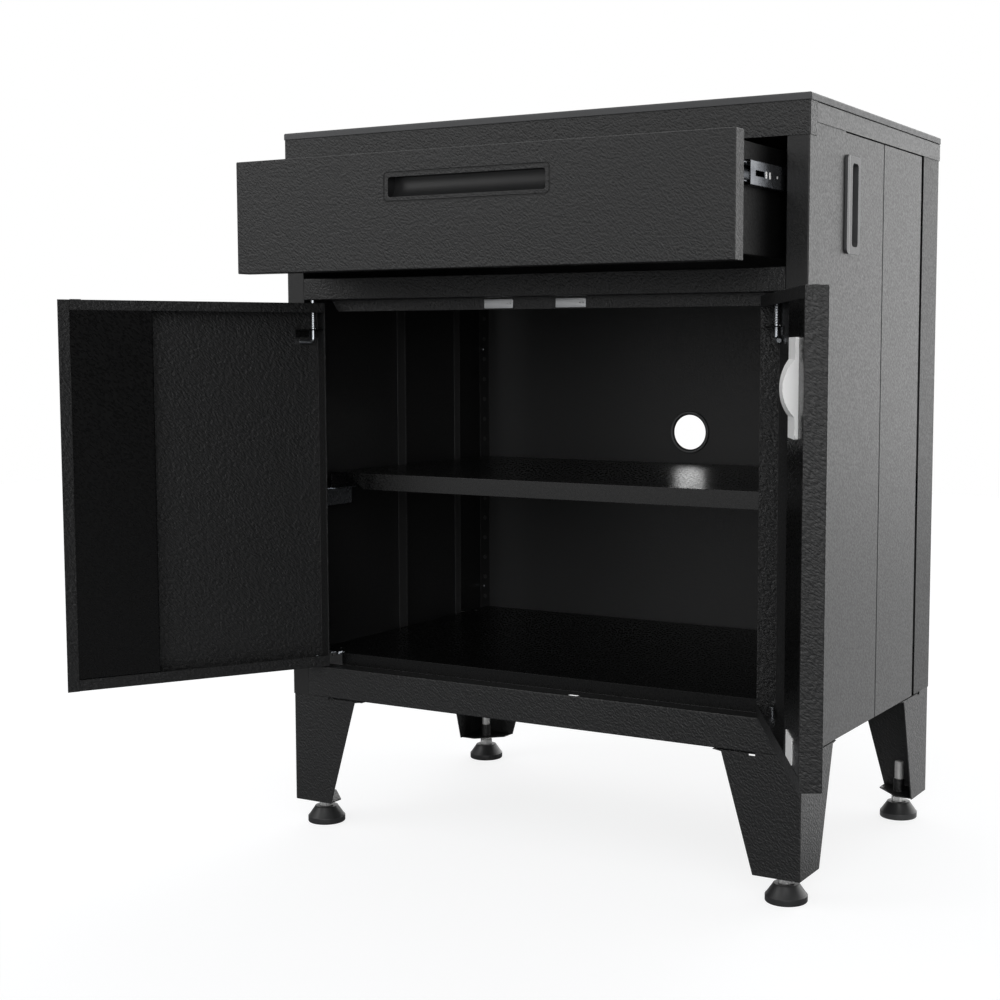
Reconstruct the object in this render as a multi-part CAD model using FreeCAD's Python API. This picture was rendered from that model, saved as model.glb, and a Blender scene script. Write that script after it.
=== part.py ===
"""Garage storage cabinet: one drawer over two doors, on four tapered legs with levelling feet.

Millimetres. +X is the cabinet's right seen from the front, +Y runs to its back, +Z is up.
The origin is on the floor under the middle of the carcass. The drawer stands part out and both
doors stand open, as stored.
"""
import FreeCAD, Part
import math
import os

V = FreeCAD.Vector

# Carcass
TOP_WIDTH = 711.0
TOP_DEPTH = 457.0
HEIGHT = 893.0
TOP_EDGE = 8.0
TOP_RETURN = 12.0
TOP_ROUND = 2.0
TOP_OVERHANG = 0.9
SHEET = 0.8
BEND = 0.6
SEAM = 0.3
FLANGE = 14.0
TOUCH = 0.1

# Front frame
TOP_RAIL_HEIGHT = 36.5
TOP_RAIL_WRAP = 19.0
SKIRT_HEIGHT = 21.6
SKIRT_GAP = 1.4
SKIRT_GAP_SETBACK = 109.6
STILE_WIDTH = 27.0
STILE_DEPTH = 21.8
STILE_LIP = 13.5
DRAWER_BAY_HEIGHT = 138.5
MID_RAIL_HEIGHT = 27.0
MID_RAIL_SHELF = 21.0
BOTTOM_RAIL_HEIGHT = 40.0
BOTTOM_RAIL_OVERLAP = 1.5
RAIL_SLOT_OFFSET = 63.0
RAIL_SLOT_SETBACK = 6.6
RAIL_SLOT_LENGTH = 15.0
RAIL_SLOT_WIDTH = 7.0
STOP_END_GAP = 36.5
STOP_FLANGE_HEIGHT = 14.3
STOP_GAP = 2.0
STOP_TAPER = 11.0
MAGNET_LENGTH = 40.6
MAGNET_HEIGHT = 11.0
MAGNET_THICKNESS = 1.8
MAGNET_OFFSET = 49.75
MAGNET_DROP = 7.5

# Sides, posts, back and floor
SIDE_RISE = 0.5
SIDE_HEM = 5.0
SIDE_FRONT_DEPTH = 239.6
SIDE_SEAM = 0.8
REAR_POST_DEPTH = 71.3
REAR_SEAM = 7.5
REAR_FLANGE = 10.6
POST_RETURN = 16.3
BACK_RISE = 2.0
CLIP_HOLE_R = 3.0
CLIP_HOLE_RISE = 14.4
CLIP_HOLE_PITCH = 30.2
CLIP_HOLE_INSET = 9.1
CABLE_HOLE_RISE = 44.0
CABLE_HOLE_R = 24.5
GROMMET_WALL = 1.5
GROMMET_RIM_R = 29.0
GROMMET_RIM = 2.0
FLOOR_RISE = 16.0
FLOOR_END_GAP = 14.5
FLOOR_LIP = 15.0
FLOOR_BACK_GAP = 4.0

# Shelf
SHELF_RISE = 230.5
SHELF_LIP = 21.0
SHELF_LIP_RETURN = 10.0
SHELF_END_GAP = 15.0
SHELF_SETBACK = 64.6
SHELF_BACK_GAP = 8.8
SHELF_LIP_END_TOP = 27.0
SHELF_LIP_END_BOTTOM = 53.0
CLIP_SHEET = 1.0
CLIP_HEIGHT = 22.9
CLIP_LEDGE = 8.0
CLIP_FRONT_REACH = 87.0
CLIP_REAR_REACH = 62.0
CLIP_HOOK_R = 2.9

# Side grips
GRIP_SETBACK = 108.6
GRIP_WIDTH = 50.0
GRIP_HEIGHT = 110.0
GRIP_DROP = 46.7
GRIP_ROUND = 6.0
GRIP_PROUD = 3.2
GRIP_RIDGE = 6.2
GRIP_RAMP = 10.0
GRIP_REAR_PROUD = 0.5
GRIP_SLOT_SETBACK = 23.5
GRIP_SLOT_WIDTH = 19.0
GRIP_SLOT_RISE = 8.7
GRIP_SLOT_HEIGHT = 93.7
GRIP_SLOT_ROUND = 5.0
GRIP_CUP_DEPTH = 17.0
GRIP_CUP_WALL = 1.0
GRIP_CUTOUT_GAP = 2.0

# Legs
LEG_SHEET = 1.5
LEG_HEIGHT = 138.5
LEG_SHOULDER_GAP = 1.5
LEG_FRONT_FOOT = 57.0
LEG_FRONT_SHOULDER = 96.5
LEG_SIDE_FOOT = 59.0
LEG_SIDE_SHOULDER = 98.0
LEG_GUSSET_LENGTH = 11.0
LEG_GUSSET_DROP = 1.7
LEG_NOTCH = 8.0
LEG_NOTCH_DROP = 2.5
LEG_RETURN = 14.0
LEG_RETURN_LAP = 2.0
LEG_TAB_FRONT = 55.0
LEG_TAB_SIDE = 35.0
LEG_TAB_RISE = 33.5
LEG_PLATE_NEAR = 23.0
LEG_PLATE_FAR = 56.0
LEG_FLANGE_WIDTH = 48.0
LEG_FLANGE_DEPTH = 27.0
LEG_ROUND = 1.5
LEG_BOLT_R = 4.0
LEG_BOLT_FLATS = 13.0
LEG_BOLT_HEAD = 5.3
LEG_BOLT_PITCH = 18.0
LEG_BOLT_SIDE = 22.0

# Levelling feet
FOOT_INSET_X = 30.0
FOOT_INSET_Y = 31.6
FOOT_BASE_R = 24.3
FOOT_BASE_HEIGHT = 8.0
FOOT_BASE_ROUND = 1.5
FOOT_TOP_R = 14.8
FOOT_PAD_HEIGHT = 21.0
FOOT_STUD_R = 6.0
FOOT_STUD_BOTTOM = 10.0
FOOT_STUD_TOP = 75.0
FOOT_HEX_FLATS = 17.0
FOOT_HEX_HEIGHT = 7.5
FOOT_SLEEVE_R = 7.2
FOOT_SLEEVE_HEIGHT = 17.0
FOOT_GAP = 4.5
THREAD_GAP = 0.05

# Drawer and its slides
DRAWER_OUT = 127.5
DRAWER_GAP_SIDE = 2.2
DRAWER_GAP_BELOW = 1.0
DRAWER_GAP_ABOVE = 5.0
DRAWER_FRONT_DEPTH = 20.0
DRAWER_FRONT_LIP = 17.0
DRAWER_TRAY_RISE = 8.3
DRAWER_TRAY_DROP = 7.7
DRAWER_HEM = 6.0
PULL_LENGTH = 206.6
PULL_HEIGHT = 22.3
PULL_ROUND = 3.0
PULL_DEPTH = 13.5
PULL_HOOK = 6.0
PULL_DROP = 3.0
PULL_WALL = 1.0
PULL_RIM = 4.0
PULL_BULGE_IN = 0.72
PULL_BULGE_UP = 0.28
DRAWER_PULL_DROP = 39.85
SLIDE_DROP = 41.1
SLIDE_END_GAP = 31.0
SLIDE_MEMBER_GAP = 5.0
SLIDE_PACK = 13.0
SLIDE_OUTER_HEIGHT = 35.0
SLIDE_OUTER_SHEET = 1.2
SLIDE_OUTER_DEPTH = 9.6
SLIDE_MIDDLE_HEIGHT = 26.0
SLIDE_MIDDLE_SHEET = 0.8
SLIDE_MIDDLE_SET = 2.6
SLIDE_MIDDLE_DEPTH = 7.4
SLIDE_INNER_HEIGHT = 20.0
SLIDE_INNER_SHEET = 1.0
SLIDE_INNER_DEPTH = 8.0
SLIDE_MIDDLE_OUT = 111.6
BALL_GAP = 0.05
CAGE_THICKNESS = 0.6
CAGE_WIDTH = 3.4
CAGE_LENGTH = 90.0
CAGE_BALLS = 6
OUTER_CAGE_SET = 6.6
OUTER_CAGE_PLACE = 230.0
INNER_CAGE_SET = 7.2
INNER_CAGE_PLACE = 185.1
SLIDE_SLOT_LENGTH = 23.0
SLIDE_SLOT_HEIGHT = 6.0
SLIDE_SLOT_INSET = 13.0
SUPPORT_SHEET = 1.2
SUPPORT_HEIGHT = 44.0
SUPPORT_REAR_TAB = 22.0

# Doors
DOOR_GAP_SIDE = 1.25
DOOR_GAP_MIDDLE = 0.75
DOOR_GAP_BOTTOM = 1.0
DOOR_GAP_TOP = 4.0
DOOR_DEPTH = 22.0
DOOR_HEM = 1.6
DOOR_EDGE_ROUND = 1.2
DOOR_TOP_LIP = 12.0
DOOR_BOTTOM_LIP = 13.5
DOOR_FREE_LIP = 5.5
MEETING_STRIP_REACH = 8.1
MEETING_STRIP_GAP = 0.4
DOOR_OPEN = 120.0
STIFFENER_WIDTH = 99.0
STIFFENER_FOOT = 12.0
STIFFENER_SLIT = 1.0
DOOR_PULL_FROM_FREE_EDGE = 40.0
DOOR_PULL_DROP = 119.0
BUFFER_LENGTH = 12.0
BUFFER_WIDTH = 6.0
BUFFER_HEIGHT = 0.8
BUFFER_FROM_FREE_EDGE = 9.5
CUP_PLATE_WIDTH = 44.7
CUP_PLATE_HEIGHT = 94.3
CUP_PLATE_THICKNESS = 3.3
CUP_PLATE_FROM_FREE_EDGE = 32.8
CUP_PLATE_RISE = 25.2
CUP_PLATE_ROUND = 2.0
CUP_BOSS_WIDTH = 22.0
CUP_BOSS_HEIGHT = 53.2
CUP_BOSS_PROUD = 11.6
PAD_WIDTH = 39.0
PAD_HEIGHT = 25.5
PAD_THICKNESS = 1.2
PAD_RISE = 16.0
PAD_FROM_FREE_EDGE = 42.5

# Door hinges
PIVOT_FROM_EDGE = 9.5
PIVOT_FROM_FACE = 5.2
PIN_R = 2.5
PIN_GAP = 0.06
PIN_ABOVE = 5.0
PIN_ARM_DROP = 48.5
PIN_ARM_LENGTH = 19.1
PIN_ARM_BEND = 5.0
PIN_TRAVEL = 10.0
COLLAR_R = 4.4
COLLAR_HEIGHT = 1.2
TAB_LEVEL_DROP = 34.0
TAB_SHEET = 1.2
TAB_WIDTH = 31.0
TAB_DEPTH = 18.0
TAB_DROP = 9.0
SPRING_WIRE = 1.0
SPRING_R = 3.4
SPRING_TURNS = 11.0
STUB_ABOVE = 13.0
STUB_BELOW = 5.0
STUB_WASHER_R = 4.4
STUB_RIVET_R = 3.2

# Small screws
SCREW_R = 1.9
SCREW_HEAD_R = 3.6
SCREW_HEAD = 1.0
BACK_SCREW_HEAD = 1.6
HEAD_ROUND = 0.45
BACK_SCREW_INSET = 5.7
BACK_SCREW_BAYS = (0, 6, 12)
BACK_SCREW_TOP_DROP = 45.0
SLIDE_SCREW_INSETS = (45.0, 320.0)
DRAWER_SCREW_END = 64.5
DRAWER_SCREW_INSET = 5.0
SHEET_DRILL = 3.0
WALL_DRILL = 4.0
DECK_DRILL = 6.0

# Planes that the pieces share, from the middle outward and from the floor up
BODY_X = TOP_WIDTH / 2 - TOP_OVERHANG
BODY_Y = TOP_DEPTH / 2 - TOP_OVERHANG
FRONT_Y = -BODY_Y
STILE_Y = FRONT_Y + SHEET
PANEL_X = BODY_X - SHEET
WALL_X = PANEL_X - SHEET
BACK_INNER_Y = BODY_Y - SHEET
OPENING_X = BODY_X - STILE_WIDTH - TOUCH
STILE_BACK_Y = STILE_Y + STILE_DEPTH
SIDE_SEAM_Y = FRONT_Y + SIDE_FRONT_DEPTH
REAR_SEAM_Y = BODY_Y - REAR_POST_DEPTH
SKIRT_GAP_FRONT_Y = FRONT_Y + SKIRT_GAP_SETBACK
STOP_HALF_WIDTH = OPENING_X - STOP_END_GAP
FLOOR_HALF_WIDTH = WALL_X - FLOOR_END_GAP
SHELF_HALF_WIDTH = WALL_X - SHELF_END_GAP
SHELF_FRONT_Y = FRONT_Y + SHELF_SETBACK
SHELF_BACK_Y = BACK_INNER_Y - SHELF_BACK_GAP
LEG_X = WALL_X
LEG_Y = BODY_Y - 2 * SHEET
FOOT_X = TOP_WIDTH / 2 - FOOT_INSET_X
FOOT_Y = TOP_DEPTH / 2 - FOOT_INSET_Y
LEG_BOTTOM = FOOT_PAD_HEIGHT + FOOT_HEX_HEIGHT + FOOT_GAP
LEG_TOP = LEG_BOTTOM + LEG_HEIGHT
LEG_TAB_TOP = LEG_TOP + LEG_TAB_RISE
BOTTOM_RAIL_BOTTOM = LEG_TOP + LEG_SHOULDER_GAP
BOTTOM_RAIL_TOP = BOTTOM_RAIL_BOTTOM + BOTTOM_RAIL_HEIGHT
SIDE_BOTTOM = BOTTOM_RAIL_BOTTOM + SIDE_RISE
BACK_BOTTOM = BOTTOM_RAIL_BOTTOM + BACK_RISE
FLOOR_TOP = BOTTOM_RAIL_TOP + FLOOR_RISE
SHELF_TOP = FLOOR_TOP + SHELF_RISE
CLIP_HOLE_FIRST_Z = FLOOR_TOP + CLIP_HOLE_RISE
CABLE_HOLE_Z = SHELF_TOP + CABLE_HOLE_RISE
BODY_TOP = HEIGHT - TOP_EDGE
TOP_RAIL_BOTTOM = BODY_TOP - TOP_RAIL_HEIGHT
MID_RAIL_TOP = TOP_RAIL_BOTTOM - DRAWER_BAY_HEIGHT
MID_RAIL_BOTTOM = MID_RAIL_TOP - MID_RAIL_HEIGHT
GRIP_FRONT_Y = FRONT_Y + GRIP_SETBACK
GRIP_REAR_Y = GRIP_FRONT_Y + GRIP_WIDTH
GRIP_TOP = BODY_TOP - GRIP_DROP
GRIP_BOTTOM = GRIP_TOP - GRIP_HEIGHT
GRIP_SLOT_FRONT_Y = GRIP_FRONT_Y + GRIP_SLOT_SETBACK
GRIP_SLOT_REAR_Y = GRIP_SLOT_FRONT_Y + GRIP_SLOT_WIDTH
GRIP_SLOT_BOTTOM = GRIP_BOTTOM + GRIP_SLOT_RISE
GRIP_SLOT_TOP = GRIP_SLOT_BOTTOM + GRIP_SLOT_HEIGHT
DRAWER_X = OPENING_X - SLIDE_PACK
DRAWER_FACE_Y = FRONT_Y - DRAWER_OUT
DRAWER_WALL_Y = DRAWER_FACE_Y + DRAWER_FRONT_DEPTH
DRAWER_FRONT_BOTTOM = MID_RAIL_TOP + DRAWER_GAP_BELOW
DRAWER_FRONT_TOP = TOP_RAIL_BOTTOM - DRAWER_GAP_ABOVE
DRAWER_BOTTOM = DRAWER_FRONT_BOTTOM + DRAWER_TRAY_RISE
DRAWER_SIDE_TOP = DRAWER_FRONT_TOP - DRAWER_TRAY_DROP
DRAWER_PULL_Z = DRAWER_FRONT_TOP - DRAWER_PULL_DROP
DRAWER_SCREW_X = DRAWER_X - DRAWER_SCREW_END
SLIDE_Z = DRAWER_FRONT_TOP - SLIDE_DROP
SLIDE_FRONT_Y = STILE_BACK_Y
SLIDE_LENGTH = BACK_INNER_Y - SHEET - SLIDE_END_GAP - SLIDE_FRONT_Y
SLIDE_MEMBER_LENGTH = SLIDE_LENGTH - SLIDE_MEMBER_GAP
DOOR_EDGE_X = OPENING_X - DOOR_GAP_SIDE
DOOR_WIDTH = DOOR_EDGE_X - DOOR_GAP_MIDDLE
DOOR_INNER_Y = FRONT_Y + DOOR_DEPTH
DOOR_BOTTOM = BOTTOM_RAIL_TOP + DOOR_GAP_BOTTOM
DOOR_TOP = MID_RAIL_BOTTOM - DOOR_GAP_TOP
DOOR_PULL_Z = DOOR_TOP - DOOR_PULL_DROP
STOP_Y = DOOR_INNER_Y + STOP_GAP
FLOOR_FRONT_Y = STOP_Y - SHEET
PIVOT_X = DOOR_EDGE_X - PIVOT_FROM_EDGE
PIVOT_Y = FRONT_Y + PIVOT_FROM_FACE
PIN_TOP = MID_RAIL_BOTTOM + PIN_ABOVE
PIN_ARM_Z = DOOR_TOP - PIN_ARM_DROP
TAB_Z = DOOR_TOP - TAB_LEVEL_DROP
SPRING_SEAT_Z = TAB_Z + TAB_SHEET
STUB_TOP = BOTTOM_RAIL_TOP + STUB_ABOVE


def block(x0, x1, y0, y1, z0, z1):
    """A box between two corners."""
    return Part.makeBox(x1 - x0, y1 - y0, z1 - z0, V(x0, y0, z0))


def rod(start, axis, radius, length):
    """A round bar from a point along a direction."""
    return Part.makeCylinder(radius, length, start, axis)


def joined(first, *others):
    """One solid from touching or overlapping shapes."""
    return first.fuse(list(others)).removeSplitter()


def mirrored(shape):
    """The same piece on the cabinet's other side."""
    return shape.mirror(V(0, 0, 0), V(1, 0, 0))


def in_plane(plane, a, b, c):
    """A point from two section coordinates and the place along the section's normal."""
    return {"xy": V(a, b, c), "xz": V(a, c, b), "yz": V(c, a, b)}[plane]


def prism(outline, plane, low, high):
    """A closed outline of corner points, extruded."""
    corners = [in_plane(plane, a, b, low) for a, b in outline]
    face = Part.Face(Part.makePolygon(corners + corners[:1]))
    return face.extrude(in_plane(plane, 0, 0, high - low))


def bent_sheet(path, thickness, bend, plane, low, high):
    """A folded sheet: path is its outer line, and the sheet lies on the path's left."""
    near = [("line", path[0])]
    far = []
    for i in range(1, len(path) - 1):
        corner = V(*path[i], 0)
        before = (corner - V(*path[i - 1], 0)).normalize()
        after = (V(*path[i + 1], 0) - corner).normalize()
        left = before.x * after.y - before.y * after.x > 0
        radius = bend + thickness if left else bend
        other = bend if left else bend + thickness
        turn = before.getAngle(after)
        tangent = radius * math.tan(turn / 2)
        normals = [V(-d.y, d.x, 0) for d in (before, after)]
        start, end = corner - before * tangent, corner + after * tangent
        centre = start + normals[0] * (radius if left else -radius)
        outward = (corner - centre).normalize()
        near += [("line", start), ("arc", centre + outward * radius, end)]
        ends = start + normals[0] * thickness, end + normals[1] * thickness
        far += [(ends, centre + outward * other)]
    first = (V(*path[1], 0) - V(*path[0], 0)).normalize()
    last = (V(*path[-1], 0) - V(*path[-2], 0)).normalize()
    near.append(("line", path[-1]))
    loop = near + [("line", V(*path[-1], 0) + V(-last.y, last.x, 0) * thickness)]
    for (start, end), middle in reversed(far):
        loop += [("line", end), ("arc", middle, start)]
    loop.append(("line", V(*path[0], 0) + V(-first.y, first.x, 0) * thickness))
    loop.append(("line", path[0]))
    edges = []
    here = None
    for step in loop:
        points = [in_plane(plane, p[0], p[1], low) for p in step[1:]]
        if step[0] == "arc":
            edges.append(Part.Arc(here, points[0], points[1]).toShape())
        elif here is not None and here.distanceToPoint(points[0]) > 1e-6:
            edges.append(Part.LineSegment(here, points[0]).toShape())
        here = points[-1]
    return Part.Face(Part.Wire(edges)).extrude(in_plane(plane, 0, 0, high - low))


def pan(x0, x1, y0, y1, z0, z1, round_edge, open_side):
    """A sheet pan: the outside of the box, with its edges round but for the open side."""
    outside = block(x0, x1, y0, y1, z0, z1)
    level = {"back": ("y", y1), "bottom": ("z", z0)}[open_side]
    edges = []
    for edge in outside.Edges:
        places = [getattr(vertex.Point, level[0]) for vertex in edge.Vertexes]
        if max(abs(place - level[1]) for place in places) > 1e-6:
            edges.append(edge)
    return outside.makeFillet(round_edge, edges)


def rounded(shape, radius, along):
    """The block with its edges along one direction rounded."""
    edges = [edge for edge in shape.Edges
             if abs((edge.Vertexes[0].Point - edge.Vertexes[-1].Point).dot(along)) > 1e-6]
    return shape.makeFillet(radius, edges)


def hexagon(centre, flats, height):
    """A hexagonal prism standing on a point."""
    corner = flats / math.sqrt(3)
    outline = [(centre.x + corner * math.cos(math.radians(60 * i)),
                centre.y + corner * math.sin(math.radians(60 * i))) for i in range(6)]
    return prism(outline, "xy", centre.z, centre.z + height)


def screw(seat, inward, head_r, head, shank_r, shank):
    """A screw with its head's underside at seat and its shank going inward."""
    cap = rod(seat, inward * -1, head_r, head)
    rim = [edge for edge in cap.Edges if edge.Curve.TypeId == "Part::GeomCircle"
           and (edge.Curve.Center - seat).dot(inward) < -head / 2]
    return joined(cap.makeFillet(head * HEAD_ROUND, rim), rod(seat, inward, shank_r, shank))


def drilled(shape, seats, inward, radius, reach):
    """The shape with a round hole at each seat."""
    holes = [rod(seat - inward * reach, inward, radius, 2 * reach) for seat in seats]
    return shape.cut(holes)


def save(node, *solids):
    """One file for one named piece, or for a group of separate pieces."""
    shape = solids[0] if len(solids) == 1 else Part.makeCompound(list(solids))
    for solid in shape.Solids:
        if not solid.isValid():
            print("INVALID", node)
    if len(shape.Solids) != len(solids):
        print("SOLIDS", node, len(shape.Solids), "not", len(solids))
    shape.exportStep("parts/" + node + ".step")


def pair(node, shape):
    """The same piece on both sides, in one node."""
    save(node, mirrored(shape), shape)


def both(name, shape):
    """The same piece on both sides, in a node for each side."""
    save(name + "_left", mirrored(shape))
    save(name + "_right", shape)


def clip_hole_heights():
    """Heights of the shelf-clip holes, lowest first."""
    room = MID_RAIL_BOTTOM - 2 * CLIP_HOLE_R - CLIP_HOLE_FIRST_Z
    return [CLIP_HOLE_FIRST_Z + CLIP_HOLE_PITCH * i for i in range(int(room / CLIP_HOLE_PITCH) + 1)]


def back_screw_seats():
    """Places of the back panel's screws on its outer face, right side."""
    x = WALL_X - BACK_SCREW_INSET
    rows = [CLIP_HOLE_FIRST_Z + CLIP_HOLE_PITCH * (bay + 0.5) for bay in BACK_SCREW_BAYS]
    return [V(x, BODY_Y, z) for z in rows + [BODY_TOP - BACK_SCREW_TOP_DROP]]


def leg_bolt_seats():
    """Places of one leg's bolts under its flange, for the front right leg."""
    y = -(LEG_Y - LEG_TAB_SIDE - LEG_FLANGE_DEPTH / 2)
    first = LEG_X - LEG_BOLT_SIDE
    z = FLOOR_TOP - SHEET - LEG_SHEET
    return [V(first - LEG_BOLT_PITCH * i, y, z) for i in range(2)]


def corner_set(shape):
    """The front right piece and its copies at the other corners, by corner name."""
    back = shape.mirror(V(0, 0, 0), V(0, 1, 0))
    return {"front_left": mirrored(shape), "front_right": shape,
            "rear_left": mirrored(back), "rear_right": back}


def make_top():
    half_x, half_y = TOP_WIDTH / 2, TOP_DEPTH / 2
    slab = pan(-half_x, half_x, -half_y, half_y, BODY_TOP, HEIGHT, TOP_ROUND, "bottom")
    inner_x, inner_y = half_x - SHEET, half_y - SHEET
    hollow = block(-inner_x, inner_x, -inner_y, inner_y, BODY_TOP + SHEET, HEIGHT - SHEET)
    mouth_x, mouth_y = half_x - TOP_RETURN, half_y - TOP_RETURN
    mouth = block(-mouth_x, mouth_x, -mouth_y, mouth_y, BODY_TOP, BODY_TOP + SHEET)
    save("top_panel", slab.cut([hollow, mouth]))


def make_top_frame():
    bottom = TOP_RAIL_BOTTOM
    wrap_y = FRONT_Y + TOP_RAIL_WRAP
    path = [(-BODY_X, wrap_y), (-BODY_X, FRONT_Y), (BODY_X, FRONT_Y), (BODY_X, wrap_y)]
    face = bent_sheet(path, SHEET, BEND, "xy", bottom, BODY_TOP)
    flange_y = FRONT_Y + FLANGE
    upper = block(-WALL_X, WALL_X, STILE_Y, flange_y, BODY_TOP - SHEET, BODY_TOP)
    lower = block(-OPENING_X, OPENING_X, STILE_Y, flange_y, bottom, bottom + SHEET)
    save("front_top_rail", joined(face, upper, lower))
    low = BODY_TOP - SKIRT_HEIGHT
    section = [(BODY_X, low), (BODY_X, BODY_TOP), (BODY_X - FLANGE, BODY_TOP)]
    skirt = bent_sheet(section, SHEET, BEND, "xz", wrap_y + SEAM, BODY_Y)
    section = [(BACK_INNER_Y, low), (BACK_INNER_Y, BODY_TOP), (BACK_INNER_Y - FLANGE, BODY_TOP)]
    reach = WALL_X - POST_RETURN - SEAM
    rear = bent_sheet(section, SHEET, BEND, "yz", -reach, reach)
    save("top_skirts", mirrored(skirt), skirt, rear)


def make_sides():
    panel_top = BODY_TOP - SIDE_HEM
    path = [(OPENING_X + STILE_LIP, STILE_BACK_Y), (OPENING_X, STILE_BACK_Y), (OPENING_X, STILE_Y),
            (PANEL_X, STILE_Y), (PANEL_X, SIDE_SEAM_Y), (PANEL_X - FLANGE, SIDE_SEAM_Y)]
    front = bent_sheet(path, SHEET, BEND, "xy", SIDE_BOTTOM, panel_top)
    rail_end = OPENING_X + BOTTOM_RAIL_OVERLAP
    below_rail = block(OPENING_X - 1, rail_end, STILE_Y - 1, STILE_BACK_Y + 1,
                       0, BOTTOM_RAIL_TOP + SEAM)
    lip_below = block(rail_end - 1, WALL_X - FLANGE / 2, STILE_BACK_Y - SHEET - 1, STILE_BACK_Y + 1,
                      0, BOTTOM_RAIL_TOP + SEAM)
    skirt_gap = block(WALL_X - 1, PANEL_X + 1, SKIRT_GAP_FRONT_Y, SIDE_SEAM_Y,
                      BODY_TOP - SKIRT_HEIGHT - SKIRT_GAP, BODY_TOP)
    around = GRIP_CUP_WALL + GRIP_CUTOUT_GAP
    grip = block(WALL_X - 1, PANEL_X + 1, GRIP_SLOT_FRONT_Y - around, GRIP_SLOT_REAR_Y + around,
                 GRIP_SLOT_BOTTOM - around, GRIP_SLOT_TOP + around)
    front = front.cut([below_rail, lip_below, skirt_gap, grip])
    hole_x = OPENING_X + STILE_LIP / 2
    seats = [V(hole_x, STILE_BACK_Y, z) for z in clip_hole_heights()]
    front = drilled(front, seats, V(0, 1, 0), CLIP_HOLE_R, SHEET_DRILL)
    both("side_front", front)
    start_y = SIDE_SEAM_Y + SIDE_SEAM
    path = [(PANEL_X - FLANGE, start_y), (PANEL_X, start_y), (PANEL_X, REAR_SEAM_Y),
            (PANEL_X - REAR_FLANGE, REAR_SEAM_Y)]
    rear = bent_sheet(path, SHEET, BEND, "xy", SIDE_BOTTOM, panel_top)
    skirt_gap = block(WALL_X - 1, PANEL_X + 1, start_y - 1, REAR_SEAM_Y + 1,
                      BODY_TOP - SKIRT_HEIGHT - SKIRT_GAP, BODY_TOP)
    both("side_rear", rear.cut(skirt_gap))
    start_y = REAR_SEAM_Y + REAR_SEAM
    path = [(PANEL_X, start_y), (PANEL_X, BACK_INNER_Y), (WALL_X - POST_RETURN, BACK_INNER_Y)]
    post = bent_sheet(path, SHEET, BEND, "xy", SIDE_BOTTOM, panel_top)
    seats = [V(PANEL_X - CLIP_HOLE_INSET, BACK_INNER_Y, z) for z in clip_hole_heights()]
    post = drilled(post, seats, V(0, 1, 0), CLIP_HOLE_R, SHEET_DRILL)
    both("rear_post", drilled(post, back_screw_seats(), V(0, 1, 0), SCREW_R, SHEET_DRILL))


def make_side_grips():
    ridge_y = GRIP_FRONT_Y + GRIP_RIDGE
    outline = block(PANEL_X, PANEL_X + GRIP_PROUD, GRIP_FRONT_Y, GRIP_REAR_Y, GRIP_BOTTOM, GRIP_TOP)
    ramp = prism([(PANEL_X, GRIP_FRONT_Y), (PANEL_X, GRIP_REAR_Y),
                  (PANEL_X + GRIP_REAR_PROUD, GRIP_REAR_Y),
                  (PANEL_X + GRIP_REAR_PROUD, ridge_y + GRIP_RAMP),
                  (PANEL_X + GRIP_PROUD, ridge_y), (PANEL_X + GRIP_PROUD, GRIP_FRONT_Y)],
                 "xy", GRIP_BOTTOM, GRIP_TOP)
    hood = rounded(outline, GRIP_ROUND, V(1, 0, 0)).common(ramp)
    wall = GRIP_CUP_WALL
    cup = block(PANEL_X - GRIP_CUP_DEPTH, PANEL_X, GRIP_SLOT_FRONT_Y - wall, GRIP_SLOT_REAR_Y + wall,
                GRIP_SLOT_BOTTOM - wall, GRIP_SLOT_TOP + wall)
    slot = block(PANEL_X - GRIP_CUP_DEPTH + wall, PANEL_X + 2 * GRIP_PROUD, GRIP_SLOT_FRONT_Y,
                 GRIP_SLOT_REAR_Y, GRIP_SLOT_BOTTOM, GRIP_SLOT_TOP)
    cup = rounded(cup, GRIP_SLOT_ROUND + wall, V(1, 0, 0))
    slot = rounded(slot, GRIP_SLOT_ROUND, V(1, 0, 0))
    both("side_grip", joined(hood, cup).cut(slot).removeSplitter())


def make_back():
    sheet = block(-WALL_X, WALL_X, BACK_INNER_Y, BODY_Y, BACK_BOTTOM, BODY_TOP - SHEET)
    reach = WALL_X - FLANGE - SEAM
    edge = block(-reach, reach, BACK_INNER_Y, BODY_Y, BODY_TOP - SHEET, BODY_TOP)
    hole = V(0, BODY_Y, CABLE_HOLE_Z)
    sheet = drilled(joined(sheet, edge), [hole], V(0, 1, 0), CABLE_HOLE_R + GROMMET_WALL, SHEET_DRILL)
    seats = back_screw_seats()
    seats += [V(-seat.x, seat.y, seat.z) for seat in seats]
    save("back_panel", drilled(sheet, seats, V(0, 1, 0), SCREW_R, SHEET_DRILL))
    rim = rod(hole - V(0, SHEET + GROMMET_RIM, 0), V(0, 1, 0), GROMMET_RIM_R, GROMMET_RIM)
    tube = rod(hole - V(0, SHEET, 0), V(0, 1, 0), CABLE_HOLE_R + GROMMET_WALL, SHEET)
    bore = rod(hole - V(0, SHEET + 2 * GROMMET_RIM, 0), V(0, 1, 0), CABLE_HOLE_R, 4 * GROMMET_RIM)
    save("cable_grommet", joined(rim, tube).cut(bore).removeSplitter())


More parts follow.
